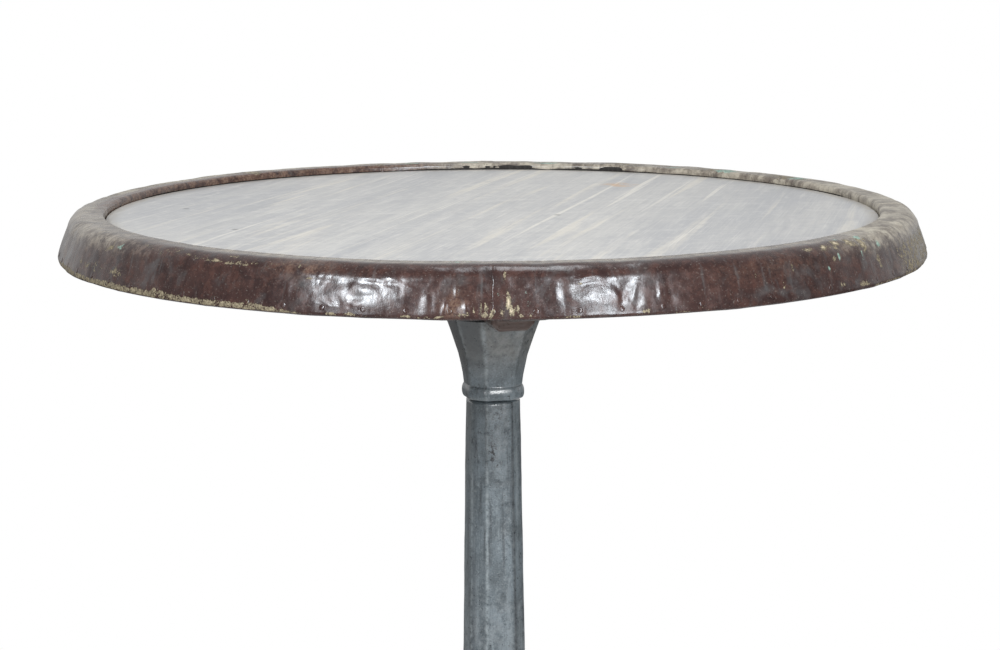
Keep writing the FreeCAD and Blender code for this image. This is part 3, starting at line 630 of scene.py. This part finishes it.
def flattened(bearing, rise):
    """How far the beaten flats lie inside the round, in mm.  Each is an oval with a wavering outline."""
    inside = np.zeros_like(bearing)
    waver = 1.5 * rim_ripple(bearing, rise, 15, 41, 0.8) + 0.6 * rim_ripple(bearing, rise, 7, 42, 0.8)
    for first, last, amount in FLATS:
        half = (last - first) / 2.0
        share = (apart(bearing, first + half) + waver) / half
        tall = (rise - FLAT_MIDDLE + 1.5 * waver) / FLAT_HALF_HEIGHT
        sag = (1.0 - math.cos(math.radians(half))) * TOP_RADIUS / MM
        depth = sag * (1.0 - share ** 2)
        depth = FLAT_EASE * np.logaddexp(0.0, np.clip(depth / FLAT_EASE, -30.0, 30.0))
        inside += amount * depth * np.exp(-tall ** 4)
    return inside


def mark(bearing, rise, centre, height, wide, tall, slant):
    """A slanted oval bell of height 1."""
    along = apart(bearing, centre) * GIRTH / 360.0
    up = rise - height
    a = math.radians(slant)
    return np.exp(-((along * math.cos(a) + up * math.sin(a)) / wide) ** 2
                  - ((up * math.cos(a) - along * math.sin(a)) / tall) ** 2)


def rim_relief(bearing, rise):
    """How far the hammered skin stands out from its plain section, in mm."""
    relief = (0.42 * rim_ripple(bearing, rise, 92, 1) + 0.26 * rim_ripple(bearing, rise, 38, 2, 1.3)
              + 0.1 * rim_ripple(bearing, rise, 15, 3, 1.3) + 0.035 * rim_ripple(bearing, rise, 7, 6))
    dented(bearing, rise, relief, HAMMER_MARKS, 5)
    relief -= flattened(bearing, rise)
    belly = ((rise - FLAT_MIDDLE) / FLAT_MIDDLE) ** 2
    relief -= SIDE_BULGE * np.minimum(belly, 1.4) * smooth(48, 26, rise)
    swirl = rim_ripple(bearing + 0.8 * rim_ripple(bearing, rise, 19, 44), rise, 11, 43, 0.75)
    for spot, half in SPOTS:
        relief += 0.1 * swirl * near(apart(bearing, spot), 0, half)
    relief += 0.03 * swirl
    for centre, height, wide, tall, out, slant in MARKS:
        relief += out * mark(bearing, rise, centre, height, wide, tall, slant)
    shoulder = near(rise, 40, 12)
    relief += 0.3 * shoulder * rim_ripple(bearing, rise, 24, 7)
    relief += 0.12 * shoulder * rim_ripple(bearing, rise, 9, 8)
    relief = relief * smooth(-22, -2, rise) * (1.0 - 0.6 * smooth(LIP_START, LIP_END, rise))
    relief += RELIEF_LIFT * smooth(-6, 4, rise) * smooth(LIP_START, SIDE_END, rise)
    return RELIEF_FLOOR + FLOOR_EASE * np.logaddexp(0.0, (relief - RELIEF_FLOOR) / FLOOR_EASE)


def tack_gap(bearing, rise):
    """Distance in mm from the nearest tack of the side row."""
    slot_angle = (bearing - FIRST_TACK + TACK_SPACING / 2) % TACK_SPACING - TACK_SPACING / 2
    return np.hypot(slot_angle * GIRTH / 360.0, rise - TACK_RISE)


# Chipped paint, as (bearing, rise, half-width, half-height in mm, amount).
CHIPS = (
    (1.4, 36, 0.9, 5, 1.15), (1.7, 20, 0.9, 4, 1.15), (1.8, 13, 1.3, 6, 1.3), (2.1, 7, 1.6, 4, 1.3),
    (2.9, 7, 0.9, 4.5, 1.2), (3.2, 3, 2, 2, 1.2), (1, 4, 1.3, 2.4, 1.2), (-0.1, 4, 1.1, 2.6, 1.2),
    (-0.8, 8, 0.7, 5.5, 1.25), (-1.4, 9, 0.7, 5.5, 1.28), (-1, 3, 1.8, 1.6, 1.15),
    (-2.1, 7, 0.5, 5, 1.2), (-2.9, 8, 0.4, 3.5, 1.15), (-3.6, 3.2, 3.6, 1.5, 1.2),
    (-4, 24, 0.5, 7, 1.22), (4.3, 3, 1.2, 2.4, 1.05), (-6, 1.6, 2.4, 1, 1.15), (-7.6, 1.5, 1.6, 0.9, 1),
    (-10, 1.4, 2.6, 1.1, 1.1), (-12.9, 1.2, 2, 1, 1.05), (-16.6, 1.8, 3, 1.6, 1.15),
    (-19, 1, 4, 1.4, 1.05), (-22, 29, 2.2, 1, 1.2), (-23.6, 39, 1.5, 4, 0.95),
    (-33.4, 36.5, 6, 1.3, 1.15), (-36.4, 38, 6, 1.6, 1.15), (-31, 35.5, 3, 1.1, 1.05),
    (-57, 34, 6, 5, 0.98), (-54, 14, 7, 4, 1.05), (-49.5, 44, 5, 1.6, 0.92), (-43.5, 45, 5, 1.5, 0.95),
    (-33.5, 44, 4, 1.6, 0.95), (10.4, 27, 2, 1.2, 1.08), (17.9, 3, 3, 1.8, 1.1), (9, 0.5, 12, 1, 0.98),
    (22, 0.6, 6, 0.9, 0.95), (43, 42, 4, 2.6, 1.25), (46, 42, 3.2, 3, 1.25), (49, 45, 3.6, 4, 1.3),
    (51.5, 42, 2.8, 7, 1.25), (54, 38, 3.5, 8, 1.2), (47, 30, 2.2, 3, 1.15), (37, 14, 1.4, 3, 1.02),
    (47.5, 6, 4, 2.2, 1.05), (52, 4, 6, 2.6, 1.05), (33, 24, 1, 3, 0.96), (39, 27, 1, 4, 0.98),
    (57, 20, 3, 8, 0.98),
)
# Green copper salts, in the same terms.
GREENS = (
    (54.5, 46, 5, 3, 1.1), (50.5, 50, 4, 2.4, 1.05), (48, 30, 1.2, 6, 0.98), (45.5, 24, 1.2, 6, 0.95),
    (53, 30, 1.4, 7, 0.98), (35, 33, 1, 4, 0.92), (-4, 58, 9, 4, 0.95), (58, 34, 3, 5, 0.98),
    (-54.5, 36, 4, 5, 0.95), (0.6, 22, 1, 6, 0.88), (4, 16, 4, 9, 0.8),
)
# The same marks on the far side, where only the lip's inner face shows.
FAR_CHIPS = (
    (-138, 62, 7, 5, 1.25), (-161, 62, 6, 4, 1.25), (-166.5, 62, 5, 4, 1.2), (-172, 61, 9, 3, 1.15),
    (176, 60, 16, 3, 1.2), (158, 60, 14, 4, 1.2), (141, 61, 16, 5, 1.18), (126, 60, 22, 8, 1.02),
)
FAR_GREENS = (
    (-167, 60, 9, 4, 1.15), (171, 61, 11, 5, 1.3), (149, 62, 6, 5, 1.1), (139, 61, 9, 7, 1.45),
    (124, 58, 9, 9, 1.15), (-176, 61, 10, 4, 1.1),
)


def blotches(places, bearing, rise):
    """The strongest of the places at each point."""
    values = np.zeros_like(bearing)
    for centre, height, wide, tall, amount in places:
        bell = mark(bearing, rise, centre, height, 2.2 * wide, 1.6 * tall, 0.0)
        values = np.maximum(values, 1.12 * amount * bell)
    return values


def bare_weight(bearing, rise, b, size):
    """Where the paint is gone: 1 where about half of it is."""
    uneven = rim_wave(bearing, 26, 9, 11)
    # a strip along the lower edge, widest at the left
    strip = -1.6 + 6.4 * span(b, -92, -70, -30, -20)
    strip += 0.9 * span(b, -26, -22, -6, 0)
    strip += 2.2 * span(b, 48, 56, 66, 76) + 2.6 * smooth(96, 120, size)
    edge = np.clip(1.0 + 0.36 * (strip + 1.1 * uneven - rise), 0.0, 1.2)
    edge = np.where(rise < -1.5, 0.45 + 0.25 * uneven, edge)
    # the right end and the back
    ends = 1.0 * span(b, 57, 66, 92, 112) * smooth(44, 24, rise)
    ends += 0.5 * smooth(104, 130, size) * smooth(52, 40, rise) + 0.35 * smooth(-60, -76, b)
    # thin flecks at the seam, at the right shoulder, along the left shoulder and at the left end
    flecks = 0.72 * near(b, 1, 3.6) * smooth(22, 8, rise)
    flecks += 0.82 * span(b, 40, 46, 56, 64) * near(rise, 42, 10)
    flecks += 0.74 * span(b, -56, -44, -26, -18) * near(rise, 40, 7)
    flecks += 0.78 * span(b, -74, -62, -56, -50) * near(rise, 14, 10)
    rings = near(tack_gap(bearing, rise), 2.9, 0.55) * near(apart(b, RINGED_TACK), 0, 4)
    return np.maximum.reduce([edge, blotches(CHIPS + FAR_CHIPS, bearing, rise), ends, flecks, 1.15 * rings])


def weather_and_sheen_weight(rise, b, size, red):
    """Where the paint has greyed with weather, and where its grey is a painted sheen of reflected light:
    the ends, the far side and the crest, but not the reddish far left.
    """
    sides = smooth(54, 78, size) * (0.31 + 0.12 * smooth(60, 90, b) - 0.1 * smooth(110, 140, size))
    weather_and_sheen = sides + smooth(20, 44, rise) * (smooth(42, 64, size) - sides)
    weather_and_sheen = np.maximum(weather_and_sheen, 0.52 * smooth(46, 58, rise))
    weather_and_sheen *= 1.0 - 0.9 * red * smooth(-178, -160, b)
    weather_and_sheen *= 1.0 - 0.1 * smooth(118, 145, size) * smooth(54, 60, rise)
    return weather_and_sheen * (1.0 - 0.4 * span(b, -112, -92, -52, -36) - 0.12 * smooth(60, 80, b))


# Rusty brown patches, as (bearing, rise, half-width, half-height in mm, amount).
RUSTS = (
    (-23, 40, 24, 9, 0.85), (-4.4, 11, 10, 12, 0.8), (36, 30, 60, 10, 0.2), (162, 62, 16, 5, 0.8),
    (151, 61, 12, 5, 0.7),
)


def rim_wear(obj, bearing, rise, layers=2):
    """Vertex weights and UVs of a piece of the rim's skin, whose mesh has `layers` copies of the grid.

    b is the bearing between -180 and 180, and size is how far that lies from the camera's side.
    """
    b = apart(bearing, 0.0)
    size = np.abs(b)
    red = smooth(-78, -100, b) * smooth(LIP_START - 4, LIP_START + 2, rise)
    rust = 0.9 * red * smooth(-176, -166, b)
    for centre, height, wide, tall, amount in RUSTS:
        rust = rust + amount * mark(bearing, rise, centre, height, wide, tall, 0.0)
    weights = {
        "bare": bare_weight(bearing, rise, b, size),
        "weather_and_sheen": weather_and_sheen_weight(rise, b, size, red),
        "green": np.maximum(blotches(GREENS + FAR_GREENS, bearing, rise), 0.34 + 0.16 * smooth(60, 100, b)),
        "rust": np.clip(rust, 0.0, 1.0),
    }
    for name, values in weights.items():
        paint_by_vertex(obj, name, np.concatenate([values.ravel()] * layers))
    arc = bearing.ravel() / 360.0 * GIRTH * MM
    unwrap(obj, np.concatenate([arc] * layers), np.concatenate([rise.ravel()] * layers) * MM)


def sheet_faces(section, outward, bearing, rise, relief):
    """Outer and inner points of a sheet.  Its inner lip has come up at the back, and curls there."""
    lift = smooth(98, 110, np.abs(apart(bearing, 0.0)))
    loose = smooth(27, 17, np.abs(apart(bearing, LOOSE_EDGE)))
    wave = rim_wave(bearing, 34, 12, 31)
    curled = smooth(CREST_START, LIP_END, rise)
    r = section[:, :1] + outward[:, :1] * relief + curled * loose * (1.0 + 0.8 * wave) * MM
    z = section[:, 1:] + outward[:, 1:] * relief + curled * (0.2 + loose * 0.5) * wave * MM
    gap = 0.9 + 0.2 * wave + loose * (0.9 + 0.6 * wave)
    lowest = MARBLE_TOP - LIP_DEPTH + lift * (LIP_DEPTH + gap * MM) + (LIP_END - rise) * LIP_STEP
    angle = np.radians(CAMERA_POLAR + bearing)

    def placed(radius, level):
        level = np.where(rise > LIP_START, np.maximum(level, lowest), level)
        return np.stack([radius * np.cos(angle), radius * np.sin(angle), level], -1)
    return placed(r, z), placed(r - outward[:, :1] * SHEET, z - outward[:, 1:] * SHEET)


def make_rim(material):
    """Four sheets, each one lapped over the end of the one before and replacing its CAD node."""
    points, normals, height = rim_section()
    for k, seam in enumerate(SEAMS):
        start, end = seam - LAP, seam + 90.0
        count = int((end - start) / 360.0 * GIRTH * MM / RIM_STEP)
        rise, share = np.meshgrid(height[::-1], np.linspace(0.0, 1.0, count), indexing="ij")
        ragged = 0.09 * ripple(rise / 6.0, rise * 0, 21 + k) * (1.0 - share)
        bearing = start + ragged + share * (end - start)
        relief = rim_relief(bearing, rise)
        relief -= 0.1 * near(tack_gap(bearing, rise), 3.1, 0.8)
        # The upper sheet rides over its neighbour's end, whose edge shows through as a low ridge.
        relief += 0.16 * smooth(0.9, 0, bearing - seam) + 0.05 * near(bearing, seam, 0.2)
        front, back = sheet_faces(points[::-1], normals[::-1], bearing, rise, relief * MM)
        sheet = grid_mesh("hammered_sheet_%d" % (k + 1), front, back=back)
        rim_wear(sheet, bearing, rise)
        sheet.data.materials.append(material)
        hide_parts("rim_cladding_%d" % (k + 1))
        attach(sheet, ROOT)


def tack_points(bearing, base, out):
    """Rings of points of one tack, whose head lies on the hammered skin."""
    relief = rim_relief(np.array([[bearing]]), np.array([[TACK_RISE]]))[0, 0] * MM
    a = math.radians(CAMERA_POLAR + bearing)
    outward = np.array([out[0] * math.cos(a), out[0] * math.sin(a), out[1]])
    side = np.array([-math.sin(a), math.cos(a), 0.0])
    up = np.cross(outward, side)
    head = np.array([base[0] * math.cos(a), base[0] * math.sin(a), base[1]]) + outward * relief
    turn = np.linspace(0, 2 * math.pi, TACK_SIDES, endpoint=False)
    return [tuple(head + outward * z * MM + (side * math.cos(t) + up * math.sin(t)) * r * MM)
            for r, z in TACK_PROFILE for t in turn]


def make_tacks(material):
    """Tacks of the side row, beaten flush with the skin; they replace the CAD node."""
    points, normals, height = rim_section()
    k = int(np.argmin(np.abs(height - TACK_RISE)))
    verts, faces, bearings = [], [], []
    for tack in range(TACK_COUNT):
        bearing = FIRST_TACK + tack * 360.0 / TACK_COUNT
        start = len(verts)
        verts += tack_points(bearing, points[k], normals[k])
        for row in range(start, len(verts) - TACK_SIDES, TACK_SIDES):
            for col in range(TACK_SIDES):
                here, beside = row + col, row + (col + 1) % TACK_SIDES
                faces.append((here, here + TACK_SIDES, beside + TACK_SIDES, beside))
        bearings += [bearing] * (len(verts) - start)
        faces.append(tuple(range(start, start + TACK_SIDES)))
        faces.append(tuple(range(len(verts) - 1, len(verts) - TACK_SIDES - 1, -1)))
    obj = add_mesh("flush_tacks", verts, faces)
    obj.data.materials.append(material)
    rim_wear(obj, np.array(bearings), np.full(len(bearings), TACK_RISE), layers=1)
    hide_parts("rim_side_tacks")
    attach(obj, ROOT)


# ---- the column ----
DIAGONAL = 1.075            # how much further out the four narrow faces lie than the four broad ones
BROAD_HALF = 27.6           # degrees from the middle of a broad face to its corner
FACE_CROWN = 0.8            # mm by which the middle of a broad face stands out
SHAFT_FLATS = (29.3, 23.4)  # apothem at the shaft's foot and top, mm
COLLAR_RISE = 6.4           # mm from the shaft's top to the middle of the collar
COLLAR_CORE = 24.8          # the collar's apothem where its round starts, mm
COLLAR_OUT = 2.4            # how far the round stands out
COLLAR_HALF = (6.3, 6.6)    # half the round's height, below and above its middle
FLARE = ((0.0, 23.6), (12.0, 24.9), (22.0, 26.1), (31.0, 27.8), (41.0, 29.8), (50.0, 32.5), (60.0, 35.6),
         (69.0, 38.7), (76.0, 41.1), (79.0, 42.1))   # the capital's (height, apothem), mm from its foot
TURNS = 240                 # points round the column


def octagon_radius(apothem, angle, sharp=40.0):
    """Radius at each polar angle of an octagon with softened corners and broad flats on the axes."""
    total = sum((np.maximum(np.cos(angle - k * math.pi / 4), 0.0) / (DIAGONAL if k % 2 else 1.0)) ** sharp
                for k in range(8))
    return apothem / total ** (1.0 / sharp)


def off_face(angle):
    """Degrees from the middle of the nearest broad face."""
    return np.abs((np.degrees(angle) + 45.0) % 90.0 - 45.0)


def arris_wear_and_highlight_weight(angle):
    """1 along the corners that are most worn, strongest on the corner facing the camera, where the
    lightening is also a painted highlight; towards 0 on the flats and the far corners.
    """
    facing = near(apart(np.degrees(angle) - CAMERA_POLAR, -12.0), 0, 40)
    return near(off_face(angle), BROAD_HALF, 3) * (0.25 + 0.75 * facing)


def column_wear(obj, turn, level):
    """Vertex weights of the column: worn corners with a painted highlight, painted shade, pits, dull wax,
    and scuffs with a painted highlight.
    """
    bearing = apart(np.degrees(turn), CAMERA_POLAR)
    shaft = smooth(568, 556, level)
    # painted shade: dark lines along two corners, the left of the front face and the lower shaft, plus the
    # shaded capital's left facets
    painted_shade = np.maximum(near(bearing, 43.5, 3), 0.55 * near(bearing, -42, 8))
    painted_shade = (painted_shade + 0.24 * near(bearing, -19, 9) + 0.2 * smooth(500, 380, level)) * shaft
    shaded = 0.9 * smooth(-4, -20, bearing) * smooth(575, 620, level)
    pitted = 1.2 * near(bearing, -2, 10) * near(level, 514, 14)
    pitted += 0.6 * near(bearing, 8, 12) * near(level, 546, 12)
    weights = {
        "arris_wear_and_highlight": arris_wear_and_highlight_weight(turn),
        "painted_shade": painted_shade + shaded,
        "pitted": pitted,
        "dull": smooth(575, 615, level),
        # scuffs low down; the band at bearing 27 is a painted highlight
        "scuffs_and_highlight": np.maximum(smooth(390, 350, level), 0.9 * near(bearing, 27, 8) * shaft),
    }
    for name, values in weights.items():
        paint_by_vertex(obj, name, values)


def cast_column(name, node_name, z, apothem, seed, ring=None):
    """A cast octagonal piece from its apothem at each height, with a moulding of softer section."""
    level, turn = np.meshgrid(z, np.linspace(0, 2 * math.pi, TURNS, endpoint=False), indexing="ij")
    radius = octagon_radius(apothem[:, None], turn)
    radius += FACE_CROWN * np.maximum(1.0 - (off_face(turn) / BROAD_HALF) ** 2, 0.0)
    if ring is not None:
        ring = octagon_radius(ring[:, None], turn, 22.0)
        gap = radius - ring
        radius = 0.5 * (radius + ring + np.sqrt(gap ** 2 + 0.9 ** 2))
    share = turn / (2 * math.pi)
    for step, (depth, around, tall) in enumerate(((0.32, 8, 70.0), (0.2, 16, 22.0), (0.08, 30, 9.0))):
        radius += depth * ripple(share * around, level / tall, seed + step + 1, around)
    points = np.stack([radius * np.cos(turn), radius * np.sin(turn), level], -1) * MM
    obj = grid_mesh(name, points, loop=True, caps=True)
    column_wear(obj, turn, level)
    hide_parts(node_name)
    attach(obj, ROOT)
    return obj


def make_column(material):
    """Shaft and capital, each replacing its CAD node."""
    low, high = (v.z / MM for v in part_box("column_shaft"))
    z = np.arange(low, high - 1.0, 2.0)
    shaft = cast_column("cast_shaft", "column_shaft", z, np.interp(z, [low, high], SHAFT_FLATS), 40)

    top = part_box("column_capital")[1].z / MM
    foot, collar = high, high + COLLAR_RISE
    z = np.concatenate([np.arange(foot, collar + 12, 0.6), np.arange(collar + 12, top + 0.01, 1.2)])
    flats = np.interp(z - foot, *zip(*FLARE)) - 0.7 * near(z, foot, 1)
    height = (z - collar) / np.where(z < collar, *COLLAR_HALF)
    bulge = COLLAR_CORE + COLLAR_OUT * np.sqrt(np.clip(1 - height ** 2, 0, 1))
    ring = np.where(np.abs(height) < 1, bulge, 15.0)
    capital = cast_column("cast_capital", "column_capital", z, flats, 60, ring)
    for piece in (shaft, capital):
        piece.data.materials.append(material)


def recast(node_name, title, voxel, material, rough):
    """A casting's softened skin: the CAD solid remeshed finely, smoothed and made slightly uneven."""
    source = nodes[node_name]
    obj = add_object(title, source.data.copy())
    obj.matrix_world = source.matrix_world
    remesh = obj.modifiers.new("remesh", "REMESH")
    remesh.mode = "VOXEL"
    remesh.voxel_size = voxel
    soften = obj.modifiers.new("soften", "SMOOTH")
    soften.iterations = 4
    grain = obj.modifiers.new("grain", "DISPLACE")
    texture = bpy.data.textures.new(title + "_grain", "CLOUDS")
    texture.noise_scale = 0.018
    texture.noise_depth = 3
    grain.texture = texture
    grain.texture_coords = "LOCAL"
    grain.strength = rough
    bpy.context.view_layer.update()
    solved = bpy.data.meshes.new_from_object(obj.evaluated_get(bpy.context.evaluated_depsgraph_get()))
    obj.modifiers.clear()
    obj.data = solved
    solved.materials.clear()
    solved.materials.append(material)
    solved.shade_smooth()
    paint_by_vertex(obj, "arris_wear_and_highlight", np.full(len(solved.vertices), 0.5))
    if node_name == "top_spider":
        # the rim's paint covers it all, but thins out over its lowest millimetres
        z = np.array([v.co.z for v in solved.vertices])
        paint_by_vertex(obj, "overpaint", smooth(0, 1, (z - z.min()) / 0.004 + 0.6))
    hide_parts(node_name)
    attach(obj, ROOT)


# ---- the studio ----
def compass(bearing, distance, z):
    """Point at a bearing and a distance from the table's axis."""
    angle = math.radians(CAMERA_POLAR + bearing)
    return Vector((distance * math.cos(angle), distance * math.sin(angle), z))


def softbox(name, bearing, elevation, distance, wide, tall, radiance, oval):
    """An area light, turned towards the marble."""
    light = bpy.data.lights.new(name, "AREA")
    light.shape = "ELLIPSE" if oval else "RECTANGLE"
    light.size = wide
    light.size_y = tall
    area = wide * tall * (math.pi / 4 if oval else 1.0)
    light.energy = radiance * math.pi * area
    obj = add_object(name, light)
    e = math.radians(elevation)
    target = Vector((0, 0, MARBLE_TOP))
    obj.location = target + compass(bearing, distance * math.cos(e), distance * math.sin(e))
    obj.rotation_euler = (target - obj.location).to_track_quat("-Z", "Y").to_euler()
    obj.visible_camera = False


WORLD_ABOVE = (0.27, 0.66)  # strength of the upper half, on the camera's side and behind the table
WORLD_BELOW = (0.4, 0.14)  # the same for the lower half
# Name, bearing, elevation, distance, width, height, radiance and whether it is oval.
SOFTBOXES = (
    ("left_box", -32.0, 26.0, 2.9, 0.4, 0.5, 84.0, True),
    ("right_box", 27.0, 26.0, 2.9, 0.44, 0.52, 54.0, True),
    ("top_box", 90.0, 86.0, 1.9, 1.0, 0.5, 6.2, False),
    ("low_left", -32.0, 5.0, 2.7, 0.34, 0.8, 8.0, False),
    ("low_right", 27.0, 5.0, 2.7, 0.42, 0.8, 25.0, False),
)


def make_studio():
    """Softboxes and a world that looks white but lights dimly, most from behind and above."""
    for box in SOFTBOXES:
        softbox(*box)
    world = bpy.data.worlds.new("studio")
    bpy.context.scene.world = world
    world.use_nodes = True
    tree = world.node_tree
    back = tree.nodes["Background"]
    way = node(tree, "TexCoord").outputs["Generated"]
    away = compass(180.0, 1.0, 0.0)
    behind = node(tree, "VectorMath", {0: way, 1: away}, operation="DOT_PRODUCT").outputs["Value"]
    rise = node(tree, "SeparateXYZ", {0: way}).outputs[2]

    def fade(value, low, high, to_low, to_high):
        return node(tree, "MapRange", {"Value": value, "From Min": low, "From Max": high, "To Min": to_low,
                                       "To Max": to_high}, interpolation_type="SMOOTHSTEP").outputs[0]
    above = fade(behind, -0.1, 0.55, *WORLD_ABOVE)
    below = fade(behind, -0.5, 0.3, *WORLD_BELOW)
    share = fade(rise, -0.2, 0.0, 0.0, 1.0)
    lit = node(tree, "Mix", {0: share, 2: below, 3: above}).outputs[0]
    seen = node(tree, "LightPath").outputs["Is Camera Ray"]
    level = node(tree, "Mix", {0: seen, 2: lit, 3: 1.0}).outputs[0]
    tree.links.new(level, back.inputs["Strength"])
    back.inputs["Color"].default_value = (1, 1, 1, 1)


def make_floor():
    """A pale disc under the table, too small to reach into the picture."""
    turn = np.linspace(0, 2 * math.pi, 96, endpoint=False)
    radius = np.array([0.0001, 0.25, 0.5, 0.75, 1.0])
    rows = np.stack([radius[:, None] * np.cos(turn), radius[:, None] * np.sin(turn),
                     np.full((len(radius), len(turn)), -0.0002)], -1)
    floor = grid_mesh("studio_floor", rows, loop=True)
    s = Shader("pale_floor")
    s.finish(Base_Color=s.mix(s.noise(40, 3), (0.66, 0.66, 0.66), (0.7, 0.7, 0.69)), Roughness=0.9)
    floor.data.materials.append(s.material)


def make_camera():
    camera = bpy.data.cameras.new("camera")
    camera.sensor_width = 36.0
    camera.lens = 36.0 * FOCAL_SHARE
    camera.shift_x = CENTRE_SHIFT
    camera.clip_end = 50.0
    obj = add_object("camera", camera)
    obj.location = compass(0.0, CAMERA_DISTANCE, MARBLE_TOP + CAMERA_RISE)
    obj.rotation_mode = "XYZ"
    heading = CAMERA_POLAR + 90.0
    obj.rotation_euler = (math.radians(90.0 - CAMERA_PITCH), 0.0, math.radians(heading))
    obj.rotation_euler.rotate_axis("Z", math.radians(-CAMERA_ROLL))
    bpy.context.scene.camera = obj


# ---- putting it together ----
def dress(names, material):
    """Gives carried-over CAD nodes a better material."""
    for name in names:
        data = nodes[name].data
        if data.materials:
            data.materials[0] = material
        else:
            data.materials.append(material)


def starting(*prefixes):
    """Names of the CAD nodes that start with one of the prefixes."""
    return [n for n in nodes if n.startswith(prefixes)]


iron = iron_material("blue_grey_iron")
painted = rim_material()
make_rim(painted)
make_tacks(painted)
make_column(iron)
recast("top_spider", "cast_spider", 0.0022, iron, 0.0006)
recast("base_hub", "cast_hub", 0.0018, iron, 0.0006)
for leg in starting("base_leg"):
    recast(leg, leg.replace("base", "cast"), 0.0018, iron, 0.0007)
dress(["marble_slab"], marble_material())
dress(["slab_bedding"], putty_material())
dress(starting("top_board", "board_tongue"), wood_material("old_oak"))
dress(starting("rim_felloe"), wood_material("oak_with_gap_shade", painted_gap_shade=True))
dress(["rim_under_tacks"], tack_material())
dress(starting("rim_screws", "spider_screws", "leg_bolt", "tie_rod", "capital_dowel", "hub_dowel"),
      steel_material("rusty_steel", (0.18, 0.17, 0.16), (0.36, 0.35, 0.33), 0.1))
dress(starting("glide_stem"),
      steel_material("zinc_steel", (0.3, 0.3, 0.3), (0.52, 0.52, 0.51), 0.0))
dress(starting("glide_pad"),
      steel_material("black_steel", (0.035, 0.036, 0.038), (0.09, 0.09, 0.09), 0.02))
dress(starting("glide_sole"), rubber_material())
make_floor()
make_studio()
make_camera()
bpy.context.scene.view_settings.view_transform = "Standard"
